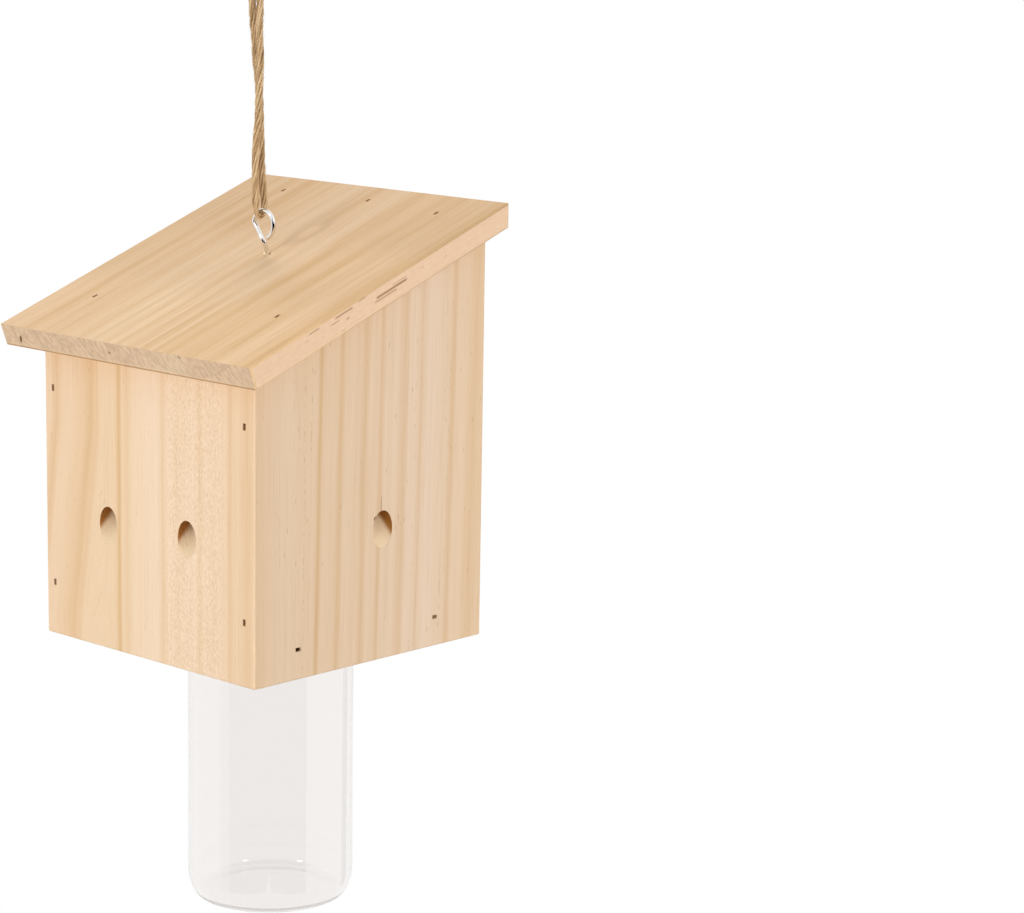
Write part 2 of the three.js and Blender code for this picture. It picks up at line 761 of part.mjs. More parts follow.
// Lid, upside down under the floor
const jarRadius = jarDiameter / 2;
const lidOuter = lidInner + lidWall;
const lidCrest = lidInner - threadDepth + threadCrestShy;
const lidGeometry = turned([
  [passageRadius, lidUnder],
  [lidInner, lidUnder],
  [lidInner, lidBottom],
  [lidOuter, lidBottom],
  [lidOuter, lidTop - lidEdgeRadius],
  [lidOuter - lidEdgeRadius * 0.3, lidTop - lidEdgeRadius * 0.3],
  [lidOuter - lidEdgeRadius, lidTop],
  [passageRadius, lidTop],
  [passageRadius, lidUnder],
], roundSides);
const ridgeStep = (threadRootWidth + threadCrestWidth) / 2 + threadSideGap;
const lidRidge = helicalRidge({
  wall: lidInner,
  crest: lidCrest,
  rootWidth: threadRootWidth,
  crestWidth: threadCrestWidth,
  pitch: threadPitch,
  firstTurn: -lidThreadTurns * 0.4,
  lastTurn: lidThreadTurns * 0.6,
  height: -threadDrop - ridgeStep,
  seat: ridgeSeat,
});
let lidSolid = solidFrom(lidGeometry).add(solidFrom(lidRidge));
lidSolid = cutFrom(lidSolid, screwSpots.map(([across, back]) => solidFrom(rod(
  lidScrewShankRadius + bradClearance,
  new THREE.Vector3(across, back - jarBack, lidBottom),
  new THREE.Vector3(across, back - jarBack, lidTop + cutOverrun),
  smallSides,
))));
const lidPiece = addPiece('jar_lid', geometryFrom(lidSolid), lidPlastic);
lidPiece.position.set(0, jarBack, 0);

// Lid screws, driven up from inside the lid
const slotReach = lidScrewHeadRadius * 0.7;
const screwNames = [
  'lid_screw_back_right',
  'lid_screw_back_left',
  'lid_screw_front_left',
  'lid_screw_front_right',
];
screwSpots.forEach(([across, back], index) => {
  const headLow = -seamGap - lidScrewHeadHeight;
  const slots = [[slotReach, lidScrewSlot / 2], [lidScrewSlot / 2, slotReach]].map(([halfX, halfY]) => (
    solidFrom(block(
      new THREE.Vector3(-halfX, -halfY, headLow - cutOverrun),
      new THREE.Vector3(halfX, halfY, headLow + lidScrewSlotDepth),
    ))
  ));
  const screw = cutFrom(solidFrom(turned(screwProfile(0), smallSides)), slots);
  const piece = addPiece(screwNames[index], geometryFrom(screw), nickel);
  piece.position.set(across, back, lidUnder);
});

// Liner between the lid and the rim
const rimInner = jarNeckRadius - jarNeckWall;
const linerTop = lidUnder - seamGap;
const linerBottom = linerTop - linerThickness;
const linerPiece = addPiece('lid_liner', turned([
  [linerInner, linerBottom],
  [linerOuter, linerBottom],
  [linerOuter, linerTop],
  [linerInner, linerTop],
  [linerInner, linerBottom],
], roundSides), linerFoam);
linerPiece.position.set(0, jarBack, 0);

// Jar: pushed-up base, rounded heel, straight wall, shoulder, threaded neck
const rimTop = linerBottom - seamGap;
const footRadius = jarRadius - jarHeelWidth;
const jarOuterProfile = [
  [0, -jarBottomDrop + jarPushUp],
  [footRadius * 0.55, -jarBottomDrop + jarPushUp * 0.8],
  [footRadius - jarPushUpEdge, -jarBottomDrop + jarPushUp * 0.3],
  [footRadius - jarPushUpEdge * 0.3, -jarBottomDrop + jarPushUp * 0.04],
  [footRadius, -jarBottomDrop],
];
const jarInnerHeel = [];
for (let step = 1; step <= curveSteps; step += 1) {
  const angle = step / curveSteps * quarterTurn;
  jarOuterProfile.push([
    footRadius + Math.sin(angle) * jarHeelWidth,
    -jarBottomDrop + jarHeelHeight - Math.cos(angle) * jarHeelHeight,
  ]);
}
const innerHeelWidth = jarHeelWidth - jarWall;
const innerHeelHeight = jarHeelHeight - jarWall;
for (let step = 0; step <= curveSteps; step += 1) {
  const angle = step / curveSteps * quarterTurn;
  jarInnerHeel.push([
    footRadius + Math.sin(angle) * innerHeelWidth,
    -jarBottomDrop + jarHeelHeight - Math.cos(angle) * innerHeelHeight,
  ]);
}
const shoulderHeight = jarShoulderBottomDrop - jarNeckBottomDrop;
const shoulderOuter = [];
const shoulderInner = [];
for (let step = 0; step <= curveSteps; step += 1) {
  const angle = step / curveSteps * quarterTurn;
  shoulderOuter.push([
    jarNeckRadius + (jarRadius - jarNeckRadius) * Math.cos(angle),
    -jarShoulderBottomDrop + shoulderHeight * Math.sin(angle),
  ]);
  shoulderInner.push([
    rimInner + (jarRadius - jarWall - rimInner) * Math.cos(angle),
    -jarShoulderBottomDrop + (shoulderHeight - jarWall) * Math.sin(angle),
  ]);
}
const jarProfile = [
  ...jarOuterProfile,
  ...shoulderOuter,
  [jarNeckRadius, rimTop - seamGap],
  [jarNeckRadius - seamGap, rimTop],
  [rimInner + seamGap, rimTop],
  [rimInner, rimTop - seamGap],
  ...shoulderInner.reverse(),
  ...jarInnerHeel.reverse(),
  [footRadius - jarPushUpEdge * 0.3, -jarBottomDrop + jarPushUp * 0.04 + jarWall],
  [footRadius - jarPushUpEdge, -jarBottomDrop + jarPushUp * 0.3 + jarWall],
  [footRadius * 0.55, -jarBottomDrop + jarPushUp * 0.8 + jarWall],
  [0, -jarBottomDrop + jarPushUp + jarWall],
];
const jarRidge = helicalRidge({
  wall: jarNeckRadius,
  crest: crestRadius,
  rootWidth: threadRootWidth,
  crestWidth: threadCrestWidth,
  pitch: threadPitch,
  firstTurn: 0,
  lastTurn: jarThreadTurns,
  height: -threadDrop,
  seat: ridgeSeat,
});
const jarSolid = solidFrom(turned(jarProfile, roundSides)).add(solidFrom(jarRidge));
const jarPiece = addPiece('jar', geometryFrom(jarSolid), clearPlastic);
jarPiece.position.set(0, jarBack, 0);

// The hook bears under the top of the loop
const hookPoint = new THREE.Vector3(knotMiddle.x, knotMiddle.y, loopTop - twineRadius);
house.position.copy(hookPoint).negate();
house.updateMatrixWorld(true);

function say(name, point) {
  console.log(name, point.toArray().map((value) => Number(value.toFixed(3))).join(' '));
}
say('box origin in the part frame', house.position);
say('pivot at the ring wire', twineContact.clone().add(house.position));
say('knot', knotMiddle.clone().add(house.position));
say('eye base', roofEye.clone().add(house.position));
say('ring centre', ringCentre.clone().add(house.position));

export default part;
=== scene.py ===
# Carpenter bee trap: pine box, jute twine, screw eye and a clear jar
import math
import random
import bmesh
import bpy
from mathutils import Matrix, Vector


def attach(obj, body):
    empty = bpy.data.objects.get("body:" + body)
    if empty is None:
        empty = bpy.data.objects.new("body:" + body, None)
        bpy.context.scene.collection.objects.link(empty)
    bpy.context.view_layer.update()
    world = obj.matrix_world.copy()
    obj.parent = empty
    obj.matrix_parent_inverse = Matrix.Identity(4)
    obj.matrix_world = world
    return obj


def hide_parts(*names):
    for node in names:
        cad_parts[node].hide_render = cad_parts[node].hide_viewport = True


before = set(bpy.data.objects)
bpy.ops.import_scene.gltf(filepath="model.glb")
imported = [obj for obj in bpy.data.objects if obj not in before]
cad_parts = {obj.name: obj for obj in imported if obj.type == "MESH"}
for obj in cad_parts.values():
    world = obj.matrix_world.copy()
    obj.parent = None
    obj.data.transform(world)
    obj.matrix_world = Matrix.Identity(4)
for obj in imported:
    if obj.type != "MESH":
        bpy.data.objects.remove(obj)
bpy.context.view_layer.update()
mm = 0.001
boxOrigin = Vector((6.54, -0.099, -332.161))  # middle of the box's foot, mm in the frame
house = {
    "half": 70,  # half the box's width and depth, mm
    "board": 10,
    "front": 137,  # height of the front board
    "roofThickness": 10.4,
}
slope = math.radians(20)
roofNormal = Vector((0, -math.sin(slope), math.cos(slope)))
roofFront = -84.5  # the front end of the roof's top face, mm


def place(x, y, z):  # mm from the box's foot to metres in the frame
    return (Vector((x, y, z)) + boxOrigin) * mm


def roofTop(y):  # height of the roof's top face at y, mm
    return house["front"] + (y + house["half"]) * math.tan(slope) + house["roofThickness"] / math.cos(slope)


def roundPoint(middle, degrees, reach, height=0):  # reach and turn about the upright through middle
    angle = math.radians(degrees)
    return Vector((middle[0] + math.cos(angle) * reach, middle[1] + math.sin(angle) * reach, height))


# camera
camera = {
    "place": (1017.4, -933.4, 358.1),
    "azimuth": 42.8,
    "pitch": 11.242,
    "roll": 1.012,
    "lens": 108.56,
}


def makeCamera(given):
    azimuth, pitch, roll = (math.radians(given[key]) for key in ("azimuth", "pitch", "roll"))
    forward = Vector((
        -math.sin(azimuth) * math.cos(pitch), math.cos(azimuth) * math.cos(pitch), -math.sin(pitch)))
    right = Vector((math.cos(azimuth), math.sin(azimuth), 0))
    up = right.cross(forward)
    tiltedRight = right * math.cos(roll) + up * math.sin(roll)
    tiltedUp = up * math.cos(roll) - right * math.sin(roll)
    data = bpy.data.cameras.new("camera")
    data.lens = given["lens"]
    data.sensor_width = 36
    data.clip_end = 50
    obj = bpy.data.objects.new("camera", data)
    bpy.context.collection.objects.link(obj)
    turn = Matrix((tiltedRight, tiltedUp, -forward)).transposed().to_4x4()
    obj.matrix_world = Matrix.Translation(place(*given["place"])) @ turn
    bpy.context.scene.camera = obj


makeCamera(camera)
print("camera")


# meshes and lines
def addMesh(name, bm, *materials):
    mesh = bpy.data.meshes.new(name)
    bm.to_mesh(mesh)
    bm.free()
    obj = bpy.data.objects.new(name, mesh)
    bpy.context.collection.objects.link(obj)
    for material in materials:
        mesh.materials.append(material)
    return obj


def finishPiece(name, bm, materials, body, smooth=180):
    # edges sharper than smooth stay hard, and without smooth all do
    obj = addMesh(name, bm, *materials)
    if smooth:
        obj.data.shade_smooth()
        if smooth < 180:
            obj.data.set_sharp_from_angle(angle=math.radians(smooth))
    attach(obj, body)
    return obj


def sweepTube(whole, centres, frames, radii, sides, uvScale=1.0, tag=0):
    # one ring, then extruded along the line ring by ring
    bm = bmesh.new()
    side = bm.verts.layers.int.new("side")
    row = bm.verts.layers.int.new("row")
    uv = bm.loops.layers.uv.new("UVMap")
    ring = bmesh.ops.create_circle(bm, segments=sides, radius=1, cap_ends=False)["verts"]
    for number, vert in enumerate(ring):
        vert[side] = number
    first = edges = bm.edges[:]
    lengths = [0.0]
    for a, b in zip(centres, centres[1:]):
        lengths.append(lengths[-1] + (b - a).length)
    faces = []
    for n, (centre, (across, over), radius) in enumerate(zip(centres, frames, radii)):
        if n:
            made = bmesh.ops.extrude_edge_only(bm, edges=edges)["geom"]
            ring = [part for part in made if isinstance(part, bmesh.types.BMVert)]
            edges = [part for part in made if isinstance(part, bmesh.types.BMEdge)]
            faces += [part for part in made if isinstance(part, bmesh.types.BMFace)]
        for vert in ring:
            turn = math.tau * vert[side] / sides
            vert.co = centre + (across * math.cos(turn) + over * math.sin(turn)) * radius
            vert[row] = n
    for face in faces:
        around = [loop.vert[side] for loop in face.loops]
        wrap = max(around) - min(around) > sides / 2
        for loop in face.loops:
            u = loop.vert[side] + (sides if wrap and loop.vert[side] < sides / 2 else 0)
            loop[uv].uv = (u / sides + tag, lengths[loop.vert[row]] * uvScale)
    for end in (first, edges):
        for face in bmesh.ops.contextual_create(bm, geom=end)["faces"]:
            for loop in face.loops:
                loop[uv].uv = (tag, 0)
    mesh = bpy.data.meshes.new("tube")
    bm.to_mesh(mesh)
    bm.free()
    whole.from_mesh(mesh)
    bpy.data.meshes.remove(mesh)


def movingFrames(centres):
    # two directions across the line at each point, carried along without twist
    last = len(centres) - 1
    tangents = [(centres[min(n + 1, last)] - centres[max(n - 1, 0)]).normalized() for n in range(last + 1)]
    across = tangents[0].orthogonal().normalized()
    frames = []
    for tangent in tangents:
        across = (across - tangent * across.dot(tangent)).normalized()
        frames.append((across, tangent.cross(across)))
    return frames


def smoothLine(points, gap):
    # even points on a centripetal curve through the given ones
    def weigh(a, b, start, end, t):
        return a * ((end - t) / (end - start)) + b * ((t - start) / (end - start))

    steps = 24  # from one given point to the next
    line = [points[0] * 2 - points[1]] + list(points) + [points[-1] * 2 - points[-2]]
    fine = []
    for a, b, c, d in zip(line, line[1:], line[2:], line[3:]):
        times = [0.0]
        for near, far in ((a, b), (b, c), (c, d)):
            times.append(times[-1] + max((far - near).length, 1e-9) ** 0.5)
        t0, t1, t2, t3 = times
        for k in range(steps):
            t = t1 + (t2 - t1) * k / steps
            first = weigh(a, b, t0, t1, t)
            second = weigh(b, c, t1, t2, t)
            third = weigh(c, d, t2, t3, t)
            fine.append(weigh(weigh(first, second, t0, t2, t), weigh(second, third, t1, t3, t), t1, t2, t))
    fine.append(points[-1])
    walked = [0.0]
    for a, b in zip(fine, fine[1:]):
        walked.append(walked[-1] + (b - a).length)
    count = max(2, round(walked[-1] / gap))
    even = []
    k = 0
    for n in range(count + 1):
        want = walked[-1] * n / count
        while k < len(fine) - 2 and walked[k + 1] < want:
            k += 1
        share = (want - walked[k]) / max(walked[k + 1] - walked[k], 1e-12)
        even.append(fine[k].lerp(fine[k + 1], min(share, 1)))
    return even, walked[-1]


# colours and shader nodes
def fromScreen(r, g, b):  # a colour as the picture gives it, made linear
    return tuple((c / 255 / 12.92) if c < 11 else ((c / 255 + 0.055) / 1.055) ** 2.4 for c in (r, g, b))


def newMaterial(name, colour=(0.8, 0.8, 0.8), roughness=0.5, **sockets):
    material = bpy.data.materials.new(name)
    material.use_nodes = True
    shader = material.node_tree.nodes["Principled BSDF"]
    shader.inputs["Base Color"].default_value = (*colour, 1)
    shader.inputs["Roughness"].default_value = roughness
    for key, value in sockets.items():
        shader.inputs[key.replace("_", " ")].default_value = value
    return material


def addNode(tree, kind, inputs=(), **settings):
    # inputs: numbers, colours or sockets, in order or by name
    made = tree.nodes.new(kind)
    for key, value in settings.items():
        setattr(made, key, value)
    for key, value in inputs.items() if isinstance(inputs, dict) else enumerate(inputs):
        socket = made.inputs[key]
        if isinstance(value, bpy.types.NodeSocket):
            tree.links.new(value, socket)
        elif socket.type == "RGBA" and len(value) == 3:
            socket.default_value = (*value, 1)
        else:
            socket.default_value = value
    return made


def treeOf(*values):  # the node tree of the first socket among the values
    return next(value.id_data for value in values if isinstance(value, bpy.types.NodeSocket))


def calc(operation, *values, clamp=False):
    return addNode(treeOf(*values), "ShaderNodeMath", values, operation=operation, use_clamp=clamp).outputs[0]


def chain(operation, values):
    total = values[0]
    for value in values[1:]:
        total = calc(operation, total, value)
    return total


def add(*values):
    return chain("ADD", values)


def subtract(*values):  # the first less all the others
    return chain("SUBTRACT", values)


def multiply(*values):
    return chain("MULTIPLY", values)


def distance(a, b):  # from where both are zero
    return calc("SQRT", add(multiply(a, a), multiply(b, b)))


def spread(value, low, high, newLow=0, newHigh=1, kind="LINEAR"):
    return addNode(value.id_data, "ShaderNodeMapRange", (value, low, high, newLow, newHigh),
                   interpolation_type=kind).outputs[0]


def ease(value, low, high, newLow=0, newHigh=1):
    return spread(value, low, high, newLow, newHigh, "SMOOTHSTEP")


def between(value, start, full, past, end):  # rises from start to full, falls from past to end
    return multiply(ease(value, start, full), ease(value, past, end, 1, 0))


def mix(factor, a, b, kind="MIX"):
    return addNode(treeOf(factor, a, b), "ShaderNodeMix", {0: factor, 6: a, 7: b}, data_type="RGBA",
                   blend_type=kind, clamp_factor=True).outputs[2]


def tint(factor, colour, screenColour):
    return mix(factor, colour, fromScreen(*screenColour))


def stretch(across, along, depth, sizes):  # a place in which one unit is the given sizes, mm
    tree = across.id_data
    spot = addNode(tree, "ShaderNodeCombineXYZ", (across, along, depth)).outputs[0]
    return addNode(tree, "ShaderNodeVectorMath", (spot, sizes), operation="DIVIDE").outputs[0]


def stretchedNoise(across, along, depth, sizes, detail=2, seed=0):
    return addNode(across.id_data, "ShaderNodeTexNoise", {
        "Vector": stretch(across, along, depth, sizes), "W": seed, "Scale": 1, "Detail": detail,
        "Roughness": 0.55}, noise_dimensions="4D").outputs[0]


def drift(across, along, depth, sizes, seed, reach):  # how far the grain wanders sideways
    return multiply(subtract(stretchedNoise(across, along, depth, sizes, 1, seed), 0.5), reach)


def bands(value, low, high, stops):
    # a ramp of linear colours over the value: (place, colour)
    ramp = addNode(value.id_data, "ShaderNodeValToRGB", (spread(value, low, high),))
    elements = ramp.color_ramp.elements
    while len(elements) < len(stops):
        elements.new(0.5)
    for element, (at, colour) in zip(elements, stops):
        element.position = (at - low) / (high - low)
        element.color = (*colour, 1)
    return ramp.outputs[0]


def screenStops(tones):
    return [(at, fromScreen(*colour)) for at, colour in tones]


rampStops = 31
lineTint = (0.86, 0.755, 0.6)  # what a grain line of darkness 1 leaves of red, green and blue


def grainColour(value, low, high, tones, lines):
    # wood of the given tones, darkened or lightened along soft grain lines
    def darkness(at):
        return sum(strength * max(0, 1 - abs(at - middle) / half) for middle, half, strength in lines)

    corners = {low, high} | {middle + turn * half for middle, half, _ in lines for turn in (-1, 0, 1)}
    corners = sorted(c for c in corners if low <= c <= high)
    total = 0.0
    for first in range(0, len(corners) - 1, rampStops - 1):
        part = corners[first:first + rampStops]  # a ramp can't hold them all
        level = bands(value, part[0], part[-1], [(at, [(darkness(at) + 1) / 3] * 3) for at in part])
        total = add(total, subtract(multiply(level, 3), 1))
        if first:
            total = subtract(total, darkness(part[0]))
    darker = addNode(value.id_data, "ShaderNodeCombineColor", [calc("POWER", c, total) for c in lineTint])
    return mix(1, bands(value, low, high, screenStops(tones)), darker.outputs[0], "MULTIPLY")


# wood grain, shared by the boards
def makeGroup(name, inputs):
    # its shade multiplies the colour, its height feeds a bump
    group = bpy.data.node_groups.new(name, "ShaderNodeTree")
    for key, value in inputs.items():
        group.interface.new_socket(key, in_out="INPUT", socket_type="NodeSocketFloat").default_value = value
    group.interface.new_socket("Shade", in_out="OUTPUT", socket_type="NodeSocketColor")
    group.interface.new_socket("Height", in_out="OUTPUT", socket_type="NodeSocketFloat")
    return group, group.nodes.new("NodeGroupInput").outputs, group.nodes.new("NodeGroupOutput").inputs


def finishGroup(group, leave, colours, height):
    shade = addNode(group, "ShaderNodeCombineColor", colours)
    group.links.new(shade.outputs[0], leave["Shade"])
    group.links.new(height, leave["Height"])
    return group


fibreSizes = {  # across, along and through the board, mm, then detail and seed
    "fibre": ((0.55, 26, 0.55), 3, 1),
    "streak": ((2.6, 150, 2.6), 2, 2),
    "cloud": ((26, 60, 26), 2, 3),
    "wool": ((0.6, 1.6, 0.8), 3, 5),
    "line": ((1, 55, 1), 2, 8),
    "pore": (1.7, 8.5, 3),
}


def makeFibreGroup(given):
    # fine wood fibre
    group, entry, leave = makeGroup("woodFibre", {
        "Across": 0, "Along": 0, "Depth": 0, "Seed": 0, "Fibre": 0.05, "Streaks": 0.06, "Clouds": 0.05,
        "Pores": 0.2, "Woolly": 0, "Lines": 0.04})
    across, along = entry["Across"], entry["Along"]
    shifted = add(entry["Depth"], multiply(entry["Seed"], 37))
    fibre, streak, cloud, wool, line = (stretchedNoise(across, along, shifted, *given[key])
                                        for key in ("fibre", "streak", "cloud", "wool", "line"))
    cell = addNode(group, "ShaderNodeTexVoronoi", {
        "Vector": stretch(across, along, shifted, given["pore"]), "Scale": 1, "Randomness": 1}).outputs
    chance = addNode(group, "ShaderNodeSeparateXYZ", (cell["Color"],)).outputs[0]
    pore = multiply(ease(cell["Distance"], 0.1, 0.2, 1, 0), spread(chance, 0.86, 0.9))
    shade = add(
        multiply(subtract(fibre, 0.5), entry["Fibre"]),
        multiply(subtract(streak, 0.5), entry["Streaks"]),
        multiply(subtract(cloud, 0.5), entry["Clouds"]),
        multiply(subtract(wool, 0.5), entry["Woolly"], 0.6), 1)
    shade = subtract(shade, multiply(pore, entry["Pores"]), multiply(ease(line, 0.54, 0.66), entry["Lines"]))
    height = add(multiply(fibre, 0.4), multiply(wool, add(entry["Woolly"], 0.15)))
    # darker wood turns browner
    return finishGroup(group, leave, (calc("POWER", shade, 0.7), shade, calc("POWER", shade, 1.45)),
                       subtract(height, multiply(pore, 0.8)))


endSizes = {"wobble": ((9, 30, 9), 2, 4), "blotch": ((3.2, 20, 1.6), 3, 7), "grit": ((0.45, 2, 0.45), 2, 11),
            "saw": ((1.1, 40, 12), 3, 9), "sawLean": 1.25}


def makeEndGroup(given):
    # sawn end grain: rings round a far heart, blotches and slanting saw marks
    group, entry, leave = makeGroup("endGrain", {
        "Across": 0, "Depth": 0, "Along": 0, "Ring Width": 4, "Heart Across": 60, "Heart Depth": -60,
        "Contrast": 0.2})
    across, along, depth = entry["Across"], entry["Along"], entry["Depth"]
    wobble, blotch, grit = (
        stretchedNoise(across, along, depth, *given[key]) for key in ("wobble", "blotch", "grit"))
    reach = distance(subtract(across, entry["Heart Across"]), subtract(depth, entry["Heart Depth"]))
    ring = calc("FRACT", calc("DIVIDE", add(reach, multiply(wobble, 2.5)), entry["Ring Width"]))
    slanted = add(across, multiply(depth, given["sawLean"]))
    saw = stretchedNoise(slanted, along, depth, *given["saw"])
    total = add(
        multiply(calc("POWER", ring, 2.5), -0.45),
        multiply(subtract(blotch, 0.5), 0.9),
        multiply(subtract(saw, 0.42), 1.3),
        multiply(subtract(grit, 0.5), 0.6))
    shade = add(multiply(total, entry["Contrast"]), 1)
    return finishGroup(group, leave, (shade, shade, calc("POWER", shade, 1.25)), add(grit, saw))


fibreGroup = makeFibreGroup(fibreSizes)
endGroup = makeEndGroup(endSizes)


def houseCoordinates(material):
    # object coordinates in mm from the middle of the box's foot
    tree = material.node_tree
    seen = addNode(tree, "ShaderNodeTexCoord").outputs["Object"]
    moved = addNode(tree, "ShaderNodeVectorMath", (seen, (1 / mm, 1 / mm, 1 / mm), tuple(-boxOrigin)),
                    operation="MULTIPLY_ADD").outputs[0]
    return addNode(tree, "ShaderNodeSeparateXYZ", (moved,)).outputs


def finishSurface(material, colour, height, bump, relief, roughness, shine):
    tree = material.node_tree
    shader = tree.nodes["Principled BSDF"].inputs
    tree.links.new(colour, shader["Base Color"])
    raised = addNode(tree, "ShaderNodeBump", {"Strength": bump, "Distance": relief * mm, "Height": height})
    tree.links.new(raised.outputs[0], shader["Normal"])
    shader["Roughness"].default_value = roughness
    shader["Specular IOR Level"].default_value = shine
    return material


wood = {"relief": 0.4, "roughness": 0.62, "sawnRoughness": 0.7, "shine": 0.25}


def finishWood(material, colour, group, across, along, depth, given, **changed):
    inputs = {"Across": across, "Along": along, "Depth": depth, **given["grain"], **changed}
    grain = addNode(material.node_tree, "ShaderNodeGroup", inputs, node_tree=group).outputs
    colour = mix(1, colour, grain["Shade"], "MULTIPLY")
    roughness = wood["sawnRoughness" if group == endGroup else "roughness"]
    return finishSurface(material, colour, grain["Height"], given["bump"], wood["relief"], roughness,
                         wood["shine"])


def wallLine(given, across, beside, z, depth):
    # the grain across an upright board, leaning and wandering
    lean = multiply(spread(z, *given["leanHeights"], 0, given["lean"]), ease(beside, *given["leanEdge"]))
    return add(across, lean, drift(across, z, depth, *given["drift"]))


# front board
frontWood = {  # tones: mm across, screen colour; grain lines: mm across, half width, darkness
    "tones": [(-60, (239, 208, 174)), (-20, (239, 209, 173)), (5, (244, 217, 187)), (60, (239, 209, 175)),
              (69.8, (239, 209, 175)), (70.3, (222, 190, 155)), (80, (227, 197, 166))],
    "lines": [
        (-62, 4, 0.6), (-45, 6, 0.25), (-38, 6, 0.7), (-33.5, 2, 0.2), (-21, 1.5, 0.2), (-18.8, 2, 1.05),
        (-13.5, 4, 0.3), (10.5, 3.5, 0.45), (20, 6, 0.2), (35, 2.5, 0.35), (54.5, 2.5, 0.5),
        (57.5, 1.5, 0.15), (65, 6, 0.45),
    ],
    "lean": 13.5,  # how far the left lines lean out toward the foot, mm
    "leanHeights": (100, 8),
    "leanEdge": (-20, -42),
    "drift": ((45, 70, 45), 3, 1.2),
    "holes": [(-26.4, 56.7), (26.4, 58.9)],
    "holeShade": (-0.5, 0.6, (188, 126, 60)),  # lean of the painted shade in the holes' upper part, its height and colour
    "bump": 0.25,
    "grain": {"Seed": 1, "Fibre": 0.14, "Streaks": 0.07, "Clouds": 0.05, "Pores": 0.12, "Lines": 0.06},
    "woolly": 1.4,
    "woollyBand": ((10, 16, 0.15, 0.9), (44, 56, 1, 0.15)),  # where the fibres stand up, mm across
}
# the walls' colour is pale wood, lightened as painted light
boreWoodAndLight = {"reach": 6.25, "squash": 0.5, "skin": 0.15, "soft": 2, "colour": (250, 224, 188)}


def boreWallsLightAndShade(colour, across, deep, z, given):
    # the walls of the entrance holes, cut across the fibres: pale wood lightened to stand in for light on the
    # lower walls, with painted shade in the upper part
    inside = calc("GREATER_THAN", deep, boreWoodAndLight["skin"])
    lean, edge, dark = given["holeShade"]
    upper = walls = 0.0
    for middle, height in given["holes"]:
        side, rise = subtract(across, middle), subtract(z, deep, height)
        reach = calc("SQRT", add(multiply(side, side), multiply(rise, rise, boreWoodAndLight["squash"])))
        near = multiply(calc("LESS_THAN", reach, boreWoodAndLight["reach"]), inside)
        walls = add(walls, near)
        above = ease(add(rise, multiply(side, lean)), edge - boreWoodAndLight["soft"], edge + boreWoodAndLight["soft"])
        upper = add(upper, multiply(near, above))
    # pale walls, partly lightened to stand in for light
    colour = tint(walls, colour, boreWoodAndLight["colour"])
    # painted shade in the upper part of each hole
    return tint(upper, colour, dark)


def makeFrontWood(given):
    material = newMaterial("pineFront")
    x, y, z = houseCoordinates(material)
    deep = add(y, house["half"])
    across = add(x, deep)  # the grain carries on round the edge
    line = wallLine(given, across, across, z, y)
    colour = grainColour(line, -house["half"], house["half"] + house["board"], given["tones"], given["lines"])
    colour = boreWallsLightAndShade(colour, x, deep, z, given)
    rising, falling = given["woollyBand"]
    woolly = multiply(ease(x, *rising), ease(x, *falling), given["woolly"])
    return finishWood(material, colour, fibreGroup, line, z, y, given, Woolly=woolly)


# side board
sideWood = {  # the same, mm back across the side
    "tones": [(-64, (224, 196, 164)), (-20, (227, 198, 166)), (35, (232, 206, 180)), (65, (230, 200, 166))],
    "lines": [
        (-66, 4, 0.45), (-50, 9, -0.12), (-30.3, 2, 0.85), (-18, 2.5, 0.6), (-8.5, 2.5, 0.15),
        (-3.5, 3.5, 0.6), (2.5, 2.5, 0.15), (6.3, 2.5, 0.65), (12, 4, 0.15), (20.3, 5, 0.6),
        (23.5, 1.5, -0.2), (31, 4.5, 0.35), (31, 1, 0.25), (46, 6, 0.1), (51, 2.5, 0.6), (65, 6, 0.3),
    ],
    "lean": 4,
    "leanHeights": (175, 0),
    "leanEdge": (-48, -34),
    "drift": ((40, 90, 40), 8, 1.2),
    "holes": [(6.3, 59.3)],
    "holeShade": (1.0, 2.2, (186, 126, 60)),
    "crack": {"foot": (5.2, 67), "lean": 0.03, "half": (0.08, 0.32), "ends": (66, 67, 70, 77)},
    "chip": {"middle": (1.9, 64.6), "reach": (0.6, 1.8)},
    "damage": (128, 84, 46),
    "poreRows": [  # mm back, strength
        (-55.5, 0.3), (-47.2, 0.35), (-43.5, 0.3), (-40.2, 0.75), (-35.6, 0.7), (27.6, 0.45), (46.4, 0.4),
        (49.3, 0.4),
    ],
    "poreBreaks": (40, 3.4, 40),
    "poreHalf": (0.1, 0.35),
    "pore": (176, 134, 96),
    "bump": 0.2,
    "grain": {"Seed": 2, "Fibre": 0.15, "Streaks": 0.09, "Clouds": 0.04, "Pores": 0.25, "Woolly": 0.12,
              "Lines": 0.06},
}


def holeDamage(x, y, z, given):
    # a crack that runs up from the hole, and a chip out of its rim
    crack, chip = given["crack"], given["chip"]
    aside, up = crack["foot"]
    off = calc("ABSOLUTE", subtract(y, aside, multiply(subtract(z, up), crack["lean"])))
    start, full, past, end = crack["ends"]
    split = multiply(ease(off, *crack["half"], 0.8, 0), spread(z, start, full), ease(z, past, end, 1, 0))
    aside, up = subtract(y, chip["middle"][0]), subtract(z, chip["middle"][1])
    hole = ease(add(multiply(aside, aside), multiply(up, up)), *chip["reach"], 0.9, 0)
    return calc("MAXIMUM", split, multiply(hole, calc("GREATER_THAN", x, house["half"] - 0.1)))


